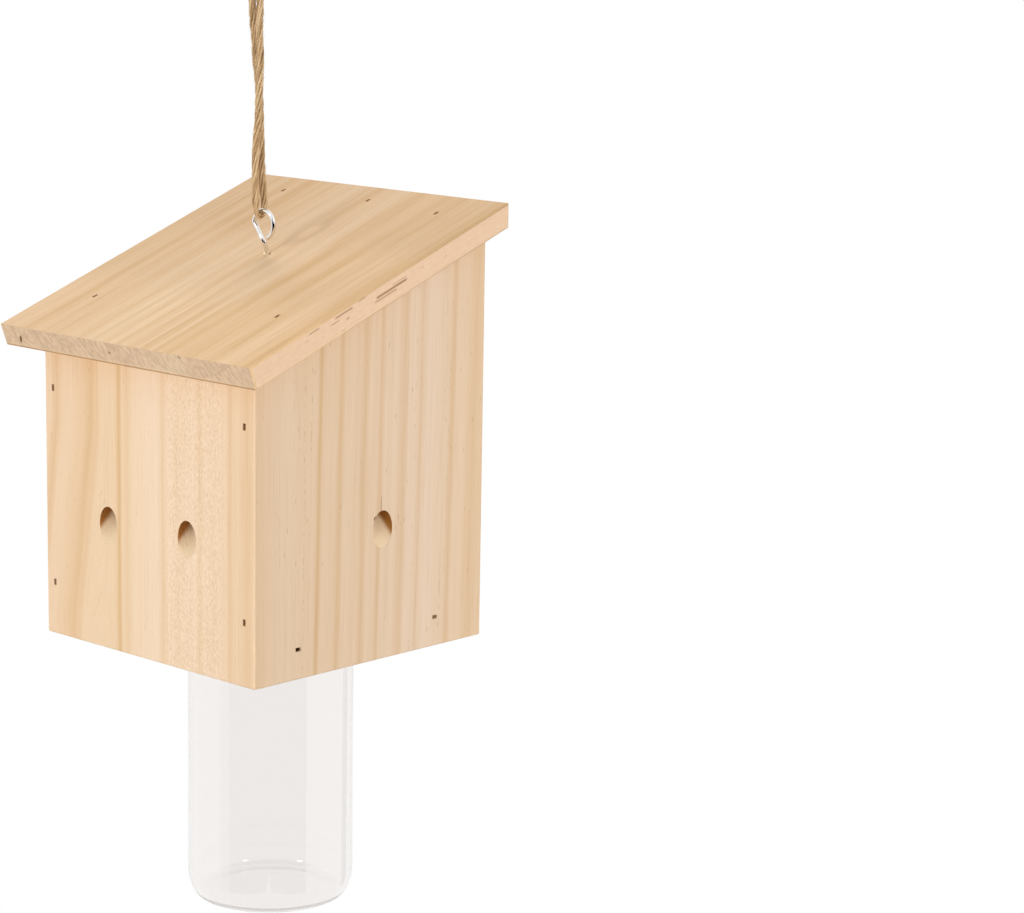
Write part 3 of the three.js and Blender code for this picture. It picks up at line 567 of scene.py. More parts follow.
def makeSideWood(given):
    material = newMaterial("pineSide")
    x, y, z = houseCoordinates(material)
    across = add(y, multiply(subtract(house["half"], calc("ABSOLUTE", x)), 0.5))
    line = wallLine(given, across, y, z, x)
    colour = grainColour(line, -house["half"], house["half"], given["tones"], given["lines"])
    colour = tint(holeDamage(x, y, z, given), colour, given["damage"])
    for middle, strength in given["poreRows"]:  # broken dark dashes
        broken = stretchedNoise(line, z, x, given["poreBreaks"], 3, middle)
        off = calc("ABSOLUTE", subtract(line, middle))
        dash = multiply(ease(broken, 0.52, 0.62, 0, strength * 0.6), ease(off, *given["poreHalf"], 1, 0))
        colour = tint(dash, colour, given["pore"])
    colour = boreWallsLightAndShade(colour, y, subtract(house["half"], x), z, given)
    return finishWood(material, colour, fibreGroup, line, z, x, given)


# roof board
roofWood = {  # the same, for its front, middle and back
    "frontTones": [(-75, (226, 192, 154)), (-20, (229, 198, 160)), (40, (227, 191, 148))],
    "frontLines": [
        (-63, 6, 0.5), (-51, 6, 0.3), (-43, 5, 0.35), (-36, 4, 0.2), (-27.5, 4, 0.4), (-22.5, 1.5, -0.2),
        (-18.5, 1.5, 0.25), (-15.5, 1.5, -0.3), (-11, 2.5, 0.2), (-7, 2.5, -0.25), (-2, 2.5, 0.35),
        (2.5, 1.5, -0.25), (6.5, 2.5, 0.3), (11, 1.5, -0.25), (14.5, 2.5, 0.4), (19, 1.5, -0.3),
        (22.5, 2.5, 0.45), (30, 4, 0.4), (44, 6, 0.1), (51, 2.5, -0.2), (57, 2.5, 0.25), (66, 6, -0.4),
        (79, 4, 0.45),
    ],
    "middleTones": [(-75, (219, 187, 149)), (-20, (224, 194, 159)), (40, (221, 186, 145))],
    "middleLines": [
        (-79, 6, 0.3), (-64.5, 4, 0.65), (-55, 6, 0.4), (-43, 6, 0.5), (-28, 6, 0.4), (-12.5, 2.5, 0.4),
        (-4, 4, 0.4), (5.5, 2.5, 0.3), (10.5, 2.5, -0.25), (20, 6, -0.3), (29, 5, 0.65), (45.5, 4, 0.5),
        (51, 2.5, -0.2), (57, 2.5, 0.15), (66, 6, -0.3), (75.5, 1.5, 0.3), (79, 6, 0.45),
    ],
    "backTones": [
        (-75, (213, 181, 144)), (-20, (219, 188, 153)), (40, (217, 183, 144)), (75, (212, 178, 138)),
    ],
    "backLines": [
        (-80, 6, 0.2), (-67, 4, 0.45), (-55, 6, 0.55), (-44, 6, 0.85), (-37, 4, 0.3), (-29, 6, 0.4),
        (-23, 4, 0.1), (-5.5, 2.5, 0.35), (1, 5, 0.55), (17, 4, -0.4), (28, 6, 0.4), (45, 4, 0.3),
        (55, 2.5, 0.2), (60.5, 4, -0.2), (71.5, 2.5, -0.2), (75.5, 1.5, 0.4), (80, 2.5, 0.6),
    ],
    "halfWidth": 83,
    "frontToMiddle": (35, 68),  # mm up the board
    "middleToBack": (92, 122),
    "drift": ((40, 80, 40), 5, 1.4),
    "lens": {"middle": (0.9, 118), "size": (5.4, 12.5)},  # an eye in the grain
    "lensRing": (203, 173, 140),
    "lensHeart": (227, 197, 160),
    "bump": 0.25,
    "grain": {"Seed": 3, "Fibre": 0.2, "Streaks": 0.15, "Clouds": 0.05, "Pores": 0.08, "Woolly": 0.18,
              "Lines": 0.14},
}


def roofCoordinates(material):
    # mm across the roof, up its slope from the front end, and out of its top face
    x, y, z = houseCoordinates(material)
    back, rise = subtract(y, roofFront), subtract(z, roofTop(roofFront))
    up = add(multiply(back, math.cos(slope)), multiply(rise, math.sin(slope)))
    deep = subtract(multiply(rise, math.cos(slope)), multiply(back, math.sin(slope)))
    return x, up, deep


def makeRoofWood(given):
    material = newMaterial("pineRoof")
    x, up, deep = roofCoordinates(material)
    across = subtract(x, deep)  # the grain carries on down the edges
    line = add(across, drift(across, up, deep, *given["drift"]))
    wide = given["halfWidth"]
    front, middle, back = (grainColour(line, -wide, wide, given[part + "Tones"], given[part + "Lines"])
                           for part in ("front", "middle", "back"))
    colour = mix(ease(up, *given["frontToMiddle"]), front, middle)
    colour = mix(ease(up, *given["middleToBack"]), colour, back)
    lens = given["lens"]
    reach = distance(*(calc("DIVIDE", subtract(value, middle), size)
                       for value, middle, size in zip((x, up), lens["middle"], lens["size"])))
    ring = between(reach, 0.45, 1.0, 1.0, 1.5)
    colour = tint(multiply(ring, 0.5), colour, given["lensRing"])
    colour = tint(ease(reach, 0.25, 0.8, 0.55, 0), colour, given["lensHeart"])
    return finishWood(material, colour, fibreGroup, line, up, deep, given)


roofEdge = {
    "light": (236, 203, 169),
    "dark": (233, 197, 164),
    "mottle": ((1.2, 4, 40), 3, 12),
    "dash": (164, 118, 82),
    "dashes": [  # dark grain dashes: up the edge from, to, depth, half width, strength
        (36, 42, 1.5, 0.35, 0.6), (52, 63, 1.75, 0.4, 0.7), (67, 72, 0.8, 0.3, 0.6), (49, 54, 3.5, 0.3, 0.5),
        (58, 60, 5.0, 0.4, 0.6), (77.5, 97, 4.25, 0.45, 0.9), (76, 90, 5.7, 0.35, 0.6),
        (88, 97, 3.0, 0.3, 0.35),
    ],
    "bump": 0.25,
    "grain": {"Seed": 7, "Fibre": 0.1, "Streaks": 0.08, "Clouds": 0.05, "Pores": 0.2, "Woolly": 0.1},
}


def makeRoofEdge(given):
    # the long edges: mottled, with short dark dashes of grain
    material = newMaterial("pineRoofEdge")
    x, up, deep = roofCoordinates(material)
    mottle = ease(stretchedNoise(deep, up, x, *given["mottle"]), 0.38, 0.62)
    colour = mix(mottle, fromScreen(*given["light"]), fromScreen(*given["dark"]))
    for start, end, depth, half, strength in given["dashes"]:
        off = calc("ABSOLUTE", add(deep, depth))
        mark = multiply(ease(off, half * 0.4, half * 1.7, strength, 0),
                        between(up, start - 1, start + 1, end - 1, end + 1))
        colour = tint(mark, colour, given["dash"])
    return finishWood(material, colour, fibreGroup, deep, up, x, given)


roofEnd = {
    "pink": (209, 175, 146),
    "yellow": (222, 194, 159),
    "ray": (236, 211, 180),
    "lowerEdgeShade": (178, 128, 78),
    "patches": ((1.6, 30, 3.2), 4, 14),
    "patchLean": 0.6,
    "rays": ((1.3, 40, 30), 1, 15),
    "rayLean": 0.9,
    "yellowBand": (11, 16, 38, 44),  # mm across: from, full, until, gone
    "rayBand": (25, 29, 38, 42),
    "yellowFoot": (-8, -10),  # mm from the top face
    "lowerEdgeShadeBand": (-9.5, -9.9),
    "mark": (120, 84, 58),
    "marks": [  # a slanted slit and two pits: mm across, depth, half sizes, lean, strength
        (-70.5, 6.2, (0.8, 1.8), 0.3, 1.0),
        (-9.2, 5, (0.7, 0.7), 0, 0.7),
        (37.8, 0.9, (1.2, 0.8), 0, 0.4),
    ],
    "bump": 0.3,
    "grain": {"Ring Width": 14, "Heart Across": 40, "Heart Depth": 45, "Contrast": 0.2},
}


def makeRoofEnd(given):
    # the sawn front end: pinkish and yellowish patches with light rays
    material = newMaterial("pineRoofEnd")
    x, up, deep = roofCoordinates(material)
    patches = stretchedNoise(add(x, multiply(deep, given["patchLean"])), up, deep, *given["patches"])
    yellow = multiply(between(x, *given["yellowBand"]), 0.25)
    yellow = add(yellow, ease(deep, *given["yellowFoot"], 0, 0.8))
    yellow = calc("ADD", yellow, ease(patches, 0.42, 0.6), clamp=True)
    colour = mix(yellow, fromScreen(*given["pink"]), fromScreen(*given["yellow"]))
    rays = stretchedNoise(add(x, multiply(deep, given["rayLean"])), up, deep, *given["rays"])
    rays = multiply(ease(rays, 0.5, 0.62, 0, 0.5), add(between(x, *given["rayBand"]), 0.1))
    colour = tint(rays, colour, given["ray"])
    # painted shade along the end's lower edge, which faces down
    colour = tint(ease(deep, *given["lowerEdgeShadeBand"], 0, 0.75), colour, given["lowerEdgeShade"])
    for middle, depth, size, lean, strength in given["marks"]:
        down = add(deep, depth)
        beside = calc("DIVIDE", subtract(x, middle, multiply(down, lean)), size[0])
        down = calc("DIVIDE", down, size[1])
        reach = add(multiply(beside, beside), multiply(down, down))
        colour = tint(ease(reach, 0.5, 1.4, strength, 0), colour, given["mark"])
    return finishWood(material, colour, endGroup, x, up, deep, given)


# boards that the photograph doesn't show
hiddenWood = {  # name: seed, colour, grain upright or not
    "pineBack": (4, (240, 208, 172), True),
    "pineLeft": (5, (236, 204, 168), True),
    "pineFloor": (6, (232, 200, 164), False),
}
hiddenGrain = {
    "drift": (50, 110, 50),
    "driftReach": 26,
    "ringWidth": 13,
    "ringDarker": (18, 28, 36),
    "grain": {"Fibre": 0.06, "Streaks": 0.07, "Clouds": 0.06, "Pores": 0.2, "Woolly": 0.08},
    "bump": 0.2,
}
sawnWood = {
    "colour": (214, 184, 150),
    "grain": {"Ring Width": 4, "Heart Across": 30, "Heart Depth": 40, "Contrast": 0.16},
    "bump": 0.3,
}


def makeHiddenWood(name, seed, colour, upright):
    material = newMaterial(name)
    x, y, z = houseCoordinates(material)
    along, depth = (z, y) if upright else (y, z)
    across = add(x, depth)
    line = add(across, drift(across, along, depth, hiddenGrain["drift"], seed, hiddenGrain["driftReach"]))
    ring = calc("FRACT", calc("DIVIDE", line, hiddenGrain["ringWidth"]))
    ring = multiply(ease(ring, 0.2, 0.93), spread(ring, 0.93, 1.0, 1, 0), 0.6)
    darker = [c - less for c, less in zip(colour, hiddenGrain["ringDarker"])]
    base = mix(ring, fromScreen(*colour), fromScreen(*darker))
    return finishWood(material, base, fibreGroup, line, along, depth, hiddenGrain, Seed=seed)


def makeEndWood(given):
    # sawn ends of the walls and the floor
    material = newMaterial("pineEnd")
    x, y, z = houseCoordinates(material)
    return finishWood(material, fromScreen(*given["colour"]), endGroup, x, z, y, given)


juteLook = {
    "tones": [(0.36, (146, 112, 76)), (0.5, (206, 174, 132)), (0.66, (229, 202, 162))],
    "slant": 0.16,
    "strands": ((0.075, 1.9, 1), 3, 2),
    "wide": ((0.35, 2.6, 1), 2, 6),
    "surface": {"bump": 0.5, "relief": 0.3, "roughness": 0.85, "shine": 0.2},
}


def makeJute(given):
    # fibres run along the ply, a little across it
    material = newMaterial("jute")
    tree = material.node_tree
    uv = addNode(tree, "ShaderNodeUVMap", uv_map="UVMap").outputs[0]
    around, along, _ = addNode(tree, "ShaderNodeSeparateXYZ", (uv,)).outputs
    turned = subtract(around, multiply(along, given["slant"]))
    strands = stretchedNoise(turned, along, 0, *given["strands"])
    wide = stretchedNoise(turned, along, 0, *given["wide"])
    ply = addNode(tree, "ShaderNodeTexWhiteNoise", {"W": calc("FLOOR", around)},
                  noise_dimensions="1D").outputs["Value"]
    mixed = add(multiply(strands, 0.6), multiply(wide, 0.4), multiply(subtract(ply, 0.5), 0.14))
    colour = bands(mixed, 0, 1, screenStops(given["tones"]))
    return finishSurface(material, colour, strands, **given["surface"])


pineFront = makeFrontWood(frontWood)
pineSide = makeSideWood(sideWood)
pineRoof = makeRoofWood(roofWood)
pineRoofEdge = makeRoofEdge(roofEdge)
pineRoofEnd = makeRoofEnd(roofEnd)
pineBack, pineLeft, pineFloor = (makeHiddenWood(name, *look) for name, look in hiddenWood.items())
pineEnd = makeEndWood(sawnWood)
juteFibre = makeJute(juteLook)
fuzzFibre = newMaterial("juteFuzz", fromScreen(214, 188, 148), 0.8)
bradBrown = newMaterial("bradBrown", (0.16, 0.062, 0.012), 0.9, Specular_IOR_Level=0.0)
bradDark = newMaterial("bradDark", (0.035, 0.012, 0.002), 0.9, Specular_IOR_Level=0.0)
bradRust = newMaterial("bradRust", fromScreen(136, 100, 66), 0.8)
bradRed = newMaterial("bradRed", fromScreen(164, 116, 78), 0.8)
chipWood = newMaterial("chipWood", fromScreen(250, 228, 190), 0.7)
nickel = newMaterial("nickel", (0.84, 0.83, 0.81), 0.08, Metallic=1.0)
lidWhite = newMaterial("lidWhite", (0.86, 0.86, 0.84), 0.4)
linerFoam = newMaterial("linerFoam", (0.9, 0.9, 0.88), 0.8)
print("materials")


# twine
twine = {
    "diameter": 3.6,
    "ringCentre": (-2.6, 1.579, 188.118),  # the eye's ring, mm from the box's foot
    "ringRadius": 6.35,
    "wireRadius": 1.05,
    "side": -2.6,  # where the twine hangs in the ring, from its middle
    "route": [  # height over the wire, leg angle, half spread, shift to the left
        (100, 25, 1.98, 2.0), (94, 21, 1.98, 1.9), (87, 5, 1.98, 1.75), (81, -6, 1.98, 1.6),
        (74, -12, 1.98, 1.2), (68, -13, 1.98, 0.9), (59, -32, 1.98, 0.6), (50, -45, 1.98, 0.4),
        (42, -55, 1.98, 0.4), (33, -70, 1.98, 0.6), (25, -82, 1.98, 0.8), (17, -87, 1.98, 0.6),
        (10, -89, 2.25, 0.3), (4.5, -90, 2.6, 0),
    ],
    "leftShift": (-0.67, -0.74, 0),
    "plies": 6,
    "plyRadius": 0.6,
    "plyOrbit": 1.12,
    "coreRadius": 0.75,
    "layLength": 34,
    "uneven": {"turn": (0.16, 1.7, 2.1), "orbit": (0.05, 2.3, 4), "radius": (0.08, 3.1, 1.3)},
    "squeeze": 0.62,  # under the wire, where the load flattens it
    "squeezeReach": 7,
    "sides": 8,
    "uvPerMetre": 200,
    "gapAlong": 0.45,
    "length": 0.2087,
}


def twineLine(given):
    # down the front leg, under the eye's wire and up the back leg, mm from the box's foot
    contactAngle = math.acos(given["side"] / given["ringRadius"])
    toContact = Vector((math.cos(contactAngle), 0, math.sin(contactAngle)))
    contact = Vector(given["ringCentre"]) + toContact * given["ringRadius"]
    under = given["wireRadius"] + given["diameter"] / 2 * given["squeeze"]

    def leg(turn):
        left = Vector(given["leftShift"])
        return [contact + left * shift + roundPoint((0, 0), degrees + turn, half, height)
                for height, degrees, half, shift in given["route"]]

    bend = []
    for degrees in (180, 216, 252, 288, 324, 360):
        angle = math.radians(degrees)
        bend.append(contact + Vector((0, math.cos(angle) * under, math.sin(angle) * under)))
    return leg(0) + bend + leg(180)[::-1], contact


def layPlies(bm, line, given, phase=0.0, pinch=None):
    # plies laid round a core along the line, thinner near the pinch
    def uneven(key, turn, ply):
        amount, rate, step = given["uneven"][key]
        return amount * math.sin(turn * rate + ply * step)

    frames = movingFrames(line)
    walked = 0.0
    turns = []
    sizes = []
    for n, point in enumerate(line):
        if n:
            walked += (point - line[n - 1]).length
        turns.append(math.tau * walked / (given["layLength"] * mm))
        away = 1 if pinch is None else min(1, (point - pinch).length / (given["squeezeReach"] * mm))
        sizes.append(given["squeeze"] + (1 - given["squeeze"]) * away * away * (3 - 2 * away))
    for ply in range(given["plies"]):
        centres = []
        plyFrames = []
        start = math.tau * ply / given["plies"] + phase
        for point, (across, over), turn, size in zip(line, frames, turns, sizes):
            angle = turn + start + uneven("turn", turn, ply)
            out = across * math.cos(angle) + over * math.sin(angle)
            centres.append(point + out * given["plyOrbit"] * (1 + uneven("orbit", turn, ply)) * size * mm)
            plyFrames.append((out, across.cross(over).normalized().cross(out)))
        radii = [given["plyRadius"] * size * mm * (1 + uneven("radius", turn, ply))
                 for size, turn in zip(sizes, turns)]
        sweepTube(bm, centres, plyFrames, radii, given["sides"], given["uvPerMetre"], ply)
    core = [given["coreRadius"] * size * mm for size in sizes]
    sweepTube(bm, line, frames, core, given["sides"], given["uvPerMetre"], given["plies"])


fuzz = {
    "count": 560,
    "seed": 11,
    "shortest": 1.2,
    "longest": 3.8,
    "radius": 0.06,
    "taper": 0.75,
    "lift": 0.26,
    "liftShares": (0.3, 1.4),
    "lean": 0.6,
    "foot": 1.55,  # from the middle of the twine
    "rise": 0.25,
    "steps": 4,
    "sides": 3,
}


def makeFuzz(name, line, body, given, share=1.0):
    # loose fibre ends standing off the twine
    pick = random.Random(given["seed"])
    frames = movingFrames(line)
    shares = [n / (given["steps"] - 1) for n in range(given["steps"])]
    bm = bmesh.new()
    for _ in range(int(given["count"] * share)):
        at = pick.randrange(4, len(line) - 5)
        across, over = frames[at]
        angle = pick.uniform(0, math.tau)
        out = across * math.cos(angle) + over * math.sin(angle)
        along = (line[at + 1] - line[at]).normalized() * pick.choice((-1, 1))
        side = along.cross(out) * pick.uniform(-given["lean"], given["lean"])
        reach = pick.uniform(given["shortest"], given["longest"]) * mm
        lift = given["lift"] * pick.uniform(*given["liftShares"])
        start = line[at] + out * given["foot"] * mm
        rise = out * given["rise"] * mm
        points = [start + (along * t + out * lift * t * t + side * t * t) * reach + rise * t for t in shares]
        radii = [given["radius"] * mm * (1 - given["taper"] * t) for t in shares]
        sweepTube(bm, points, movingFrames(points), radii, given["sides"], twine["uvPerMetre"], pick.random())
    return finishPiece(name, bm, [fuzzFibre], body)


routePoints, ringContact = twineLine(twine)
twinePath, twineLength = smoothLine([place(*point) for point in routePoints], twine["gapAlong"] * mm)
print("twine path", round(twineLength, 4), "m")
bm = bmesh.new()
layPlies(bm, twinePath, twine, 0.0, place(*ringContact))
twinePiece = finishPiece("jute_twine", bm, [juteFibre], "twine")
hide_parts("twine")
twineFuzz = makeFuzz("twine_fuzz", twinePath, "twine", fuzz)
print("twine")

loop = {
    "foot": -26.4,  # mm under the hook
    "rise": 28.2,
    "span": 14.4,
    "tuck": 3.0,  # into the knot
    "tuckShare": 0.13,
    "shares": [  # of the span and the rise
        (-0.2, 0), (-0.24, 0.12), (-0.4, 0.34), (-0.5, 0.6), (-0.44, 0.82), (-0.24, 0.96), (0, 1),
        (0.24, 0.96), (0.44, 0.82), (0.5, 0.6), (0.4, 0.34), (0.24, 0.12), (0.2, 0),
    ],
    "length": 0.078,
    "phase": 1.1,
    "fuzzShare": 0.35,
}


def makeLoop(given):
    tucked = given["tuckShare"] * given["span"]
    start, end = (Vector((x, 0, given["foot"] - given["tuck"])) for x in (-tucked, tucked))
    bow = [Vector((x * given["span"], 0, given["foot"] + up * given["rise"])) for x, up in given["shares"]]
    line, length = smoothLine([p * mm for p in [start, *bow, end]], twine["gapAlong"] * mm)
    print("loop path", round(length, 4), "m")
    bm = bmesh.new()
    layPlies(bm, line, twine, given["phase"])
    piece = finishPiece("loop_twine", bm, [juteFibre], "hanger")
    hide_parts("hanging_loop")
    hairs = makeFuzz("loop_fuzz", line, "hanger", fuzz, given["fuzzShare"])


makeLoop(loop)

knot = {
    "middle": -31.7,  # mm under the hook
    "half": 6.25,
    "legSpread": 1.98,
    "legAngle": 25,
    "legEnd": 0.9,  # below the knot
    "entry": (1.5, 2.2),  # half spread, height from the knot's foot
    "turnFrom": -75,
    "turnTo": 425,
    "innerReach": 3.5,
    "outerReach": 5.25,
    "swell": 1.6,
    "climb": 2.3,
    "pair": 1.55,
    "steps": 13,
    "exit": [(1.2, 2.2, -3.2), (2.3, 0.4, -1.4), (2.76, 0, 0.2)],  # half spread, back, height from its top
    "phase": 0.7,
}


def makeKnot(given):
    # overhand knot: both strands come up, wrap round themselves and leave as the loop
    bm = bmesh.new()
    half = given["half"]
    reachFrom, reachTo = given["innerReach"], given["outerReach"]
    for strand in (-1, 1):
        points = [
            roundPoint((0, 0), given["legAngle"], given["legSpread"] * strand, -half - given["legEnd"]),
            Vector((given["entry"][0] * strand, 0, -half + given["entry"][1])),
        ]
        for n in range(given["steps"]):
            t = n / (given["steps"] - 1)
            points.append(roundPoint(
                (0, 0), given["turnFrom"] + (given["turnTo"] - given["turnFrom"]) * t,
                reachFrom + (reachTo - reachFrom) * min(1, t * given["swell"]),
                given["climb"] * (2 * t - 1) + given["pair"] * strand))
        points += [Vector((out * strand, back, half + height)) for out, back, height in given["exit"]]
        lift = Vector((0, 0, given["middle"]))
        line, _ = smoothLine([(p + lift) * mm for p in points], twine["gapAlong"] * mm)
        layPlies(bm, line, twine, given["phase"] * strand)
    piece = finishPiece("overhand_knot", bm, [juteFibre], "hanger")
    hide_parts("top_knot")


makeKnot(knot)
print("loop and knot")


# stage and light
studio = {
    "floorDrop": 1.15,
    "floorSize": 1.4,
    "floorColour": (0.82, 0.82, 0.82),
    "fill": 0.625,  # world light on the object
    "darkPatches": [  # what metal and plastic reflect: azimuth, half width, low, high, level
        (42.8, 53.7, -60, 8, 0.0),
        (-18, 7, -60, 8, 0.6),
        (40, 14, 8, 34, 0.02),
        (235, 68, -60, -2, 0.35),
    ],
    "patchEdge": 3,  # degrees over which a dark patch fades
    "target": (0, 0, 100),  # what the lamps point at, mm from the box's foot
    "lamps": {  # azimuth, elevation, distance, size, watts, seen in reflections
        "leftSoftbox": (-2, 9, 1.5, 0.3, 7.6, False),
        "rightSoftbox": (86, 7, 1.5, 0.34, 7.3, False),
        "topSoftbox": (223, 62, 1.5, 0.7, 7.6, False),
        "leftBulb": (-6, 36, 1.5, 0.18, 6.5, True),
        "rightBulb": (92, 36, 1.5, 0.18, 6.5, True),
    },
}


def makeStage(given):
    # a floor that is seen as plain white, without shadows
    white = newMaterial("studioWhite", roughness=0.95, Specular_IOR_Level=0.0, Emission_Color=(1, 1, 1, 1))
    tree = white.node_tree
    shader = tree.nodes["Principled BSDF"].inputs
    ray = addNode(tree, "ShaderNodeLightPath").outputs
    mirrored = calc("MAXIMUM", ray["Is Glossy Ray"], ray["Is Transmission Ray"])
    seen = calc("MAXIMUM", ray["Is Camera Ray"], mirrored)
    tree.links.new(seen, shader["Emission Strength"])
    tree.links.new(mix(seen, given["floorColour"], (0, 0, 0)), shader["Base Color"])
    bm = bmesh.new()
    bmesh.ops.create_grid(bm, x_segments=1, y_segments=1, size=given["floorSize"])
    bmesh.ops.translate(bm, vec=(0, 0, -given["floorDrop"]), verts=bm.verts)
    addMesh("floor", bm, white)


def makeWorld(given):
    world = bpy.data.worlds.new("studio")
    world.use_nodes = True
    bpy.context.scene.world = world
    tree = world.node_tree
    ray = addNode(tree, "ShaderNodeLightPath").outputs
    way = addNode(tree, "ShaderNodeTexCoord").outputs["Generated"]
    x, y, z = addNode(tree, "ShaderNodeSeparateXYZ", (way,)).outputs
    turn = calc("ARCTAN2", x, multiply(y, -1))
    edge = given["patchEdge"]
    glossy = 1.0
    for azimuth, halfWidth, low, high, level in given["darkPatches"]:
        beside = calc("ABSOLUTE", subtract(turn, math.radians(azimuth)))
        lowEdge, pastLow, highEdge, pastHigh = (
            math.sin(math.radians(degrees)) for degrees in (low, low - edge, high, high + edge))
        inside = multiply(
            ease(beside, math.radians(halfWidth), math.radians(halfWidth + edge), 1, 0),
            ease(z, lowEdge, pastLow, 1, 0), ease(z, highEdge, pastHigh, 1, 0))
        glossy = multiply(glossy, subtract(1, multiply(inside, 1 - level)))
    clear = calc("MAXIMUM", ray["Is Camera Ray"], ray["Is Transmission Ray"])
    level = add(given["fill"], multiply(ray["Is Glossy Ray"], subtract(glossy, given["fill"])))
    level = add(level, multiply(clear, subtract(1, level)))
    background = tree.nodes["Background"].inputs
    tree.links.new(level, background["Strength"])
    background["Color"].default_value = (1, 1, 1, 1)


def areaLamp(name, azimuth, elevation, far, size, power, mirrored):
    data = bpy.data.lights.new(name, "AREA")
    data.shape = "RECTANGLE"
    data.size = data.size_y = size
    data.energy = power
    lamp = bpy.data.objects.new(name, data)
    bpy.context.collection.objects.link(lamp)
    lamp.visible_glossy = lamp.visible_transmission = mirrored
    lamp.visible_diffuse = not mirrored
    turn, rise = math.radians(azimuth), math.radians(elevation)
    target = place(*studio["target"])
    toward = Vector((math.sin(turn) * math.cos(rise), -math.cos(turn) * math.cos(rise), math.sin(rise)))
    lamp.location = target + toward * far
    lamp.rotation_euler = (target - lamp.location).to_track_quat("-Z", "Y").to_euler()


makeStage(studio)
makeWorld(studio)
for name, settings in studio["lamps"].items():
    areaLamp(name, *settings)
bpy.context.scene.view_settings.view_transform = "Standard"
print("stage and light")


# boards
boards = {  # name: CAD node, face wood, end wood, edge wood, way the grain runs
    "front_board": ("front_panel", pineFront, pineEnd, pineFront, (0, 0, 1)),
    "back_board": ("back_panel", pineBack, pineEnd, pineSide, (0, 0, 1)),
    "left_board": ("left_panel", pineLeft, pineEnd, pineLeft, (0, 0, 1)),
    "right_board": ("right_panel", pineSide, pineEnd, pineSide, (0, 0, 1)),
    "floor_board": ("floor_panel", pineFloor, pineEnd, pineFloor, (0, 1, 0)),
    "roof_board": ("roof_panel", pineRoof, pineRoofEnd, pineRoofEdge, (0, math.cos(slope), math.sin(slope))),
}
boardMesh = {
    "merge": 2e-6,
    "flat": 0.2,  # degrees between faces that become one
    "seam": (59.5, 59.9, 59.98),  # side boards: ends found from, to, and where they meet the front and back
    "facing": 0.8,
    "woodArea": 2e-4,  # smallest end or edge, square metres
    "flatArea": 1.2e-4,
}


def makeBoard(name, node, faceWood, endWood, edgeWood, grain):
    # the CAD board, merged, with its sawn ends and long edges told from its faces
    bm = bmesh.new()
    bm.from_mesh(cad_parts[node].data)
    bmesh.ops.remove_doubles(bm, verts=bm.verts, dist=boardMesh["merge"])
    bmesh.ops.dissolve_limit(bm, angle_limit=math.radians(boardMesh["flat"]), verts=bm.verts, edges=bm.edges)
    bmesh.ops.recalc_face_normals(bm, faces=bm.faces)
    if node in ("left_panel", "right_panel"):
        low, high, meeting = boardMesh["seam"]
        for vert in bm.verts:
            y = vert.co.y / mm - boxOrigin.y
            if low < abs(y) < high:
                vert.co.y += math.copysign(meeting - abs(y), y) * mm
    for face in bm.faces:
        if face.calc_area() > boardMesh["woodArea"]:
            if abs(face.normal.dot(Vector(grain))) > boardMesh["facing"]:
                face.material_index = 1
            elif abs(face.normal.x) > boardMesh["facing"]:
                face.material_index = 2
    piece = finishPiece(name, bm, [faceWood, endWood, edgeWood], "house", 40)
    for face in piece.data.polygons:
        if face.area > boardMesh["flatArea"]:
            face.use_smooth = False
    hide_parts(node)


for name, settings in boards.items():
    makeBoard(name, *settings)
print("boards")


# screw eye
screwEye = {
    "foot": (-2.6, 3.7),  # mm across and back on the roof
    "neck": 6.2,
    "neckEase": (0.4, 0.5),  # of the wire: up and to the left
    "ringRadius": 6.35,
    "wireRadius": 1.05,
    "tipAngle": -70,
    "legAngle": 174,
    "cutEnd": 0.7,
    "embed": 9,
    "point": 2,
    "threadPitch": 1.7,
    "threadRadius": 0.34,
    "threadTurns": 3,
    "steps": 24,
    "sides": 20,
    "gapAlong": 0.4,
}


def makeScrewEye(given):
    across, back = given["foot"]
    foot = Vector((across, back, roofTop(back)))
    neck = foot + roofNormal * given["neck"]
    radius, wire, steps = given["ringRadius"], given["wireRadius"], given["steps"]
    centre = neck + Vector((0, 0, radius + wire))
    shank = given["embed"] - given["point"]

    def ringPoint(degrees):
        angle = math.radians(degrees)
        return centre + Vector((math.cos(angle), 0, math.sin(angle))) * radius

    tip, leg = given["tipAngle"], given["legAngle"]
    up, left = given["neckEase"]
    points = [ringPoint(tip + (leg - tip) * n / steps) for n in range(steps + 1)]
    legFoot = neck + roofNormal * wire * up - Vector((wire * left, 0, 0))
    points += [ringPoint(leg).lerp(legFoot, share) for share in (0.35, 0.7, 1)]
    points += [neck - roofNormal * wire, foot, foot - roofNormal * shank]
    line, _ = smoothLine([place(*p) for p in points], given["gapAlong"] * mm)
    radii = [wire * mm] * len(line)
    radii[0] *= given["cutEnd"]
    bm = bmesh.new()
    sweepTube(bm, line, movingFrames(line), radii, given["sides"])
    shares = [n / 10 for n in range(11)]
    screwPoint = [place(*(foot - roofNormal * (shank + given["point"] * t))) for t in shares]
    radii = [wire * mm * max(0.05, 1 - t) for t in shares]
    sweepTube(bm, screwPoint, movingFrames(screwPoint), radii, given["sides"])
    side = roofNormal.orthogonal().normalized()
    over = roofNormal.cross(side)
    thread = []
    for n in range(given["threadTurns"] * steps + 1):
        angle = math.tau * n / steps
        out = (side * math.cos(angle) + over * math.sin(angle)) * wire
        thread.append(place(*(foot - roofNormal * (shank - given["threadPitch"] * n / steps) + out)))
    sweepTube(bm, thread, movingFrames(thread), [given["threadRadius"] * mm] * len(thread), 8)
    piece = finishPiece("bent_screw_eye", bm, [nickel], "house")
    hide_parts("screw_eye")


makeScrewEye(screwEye)

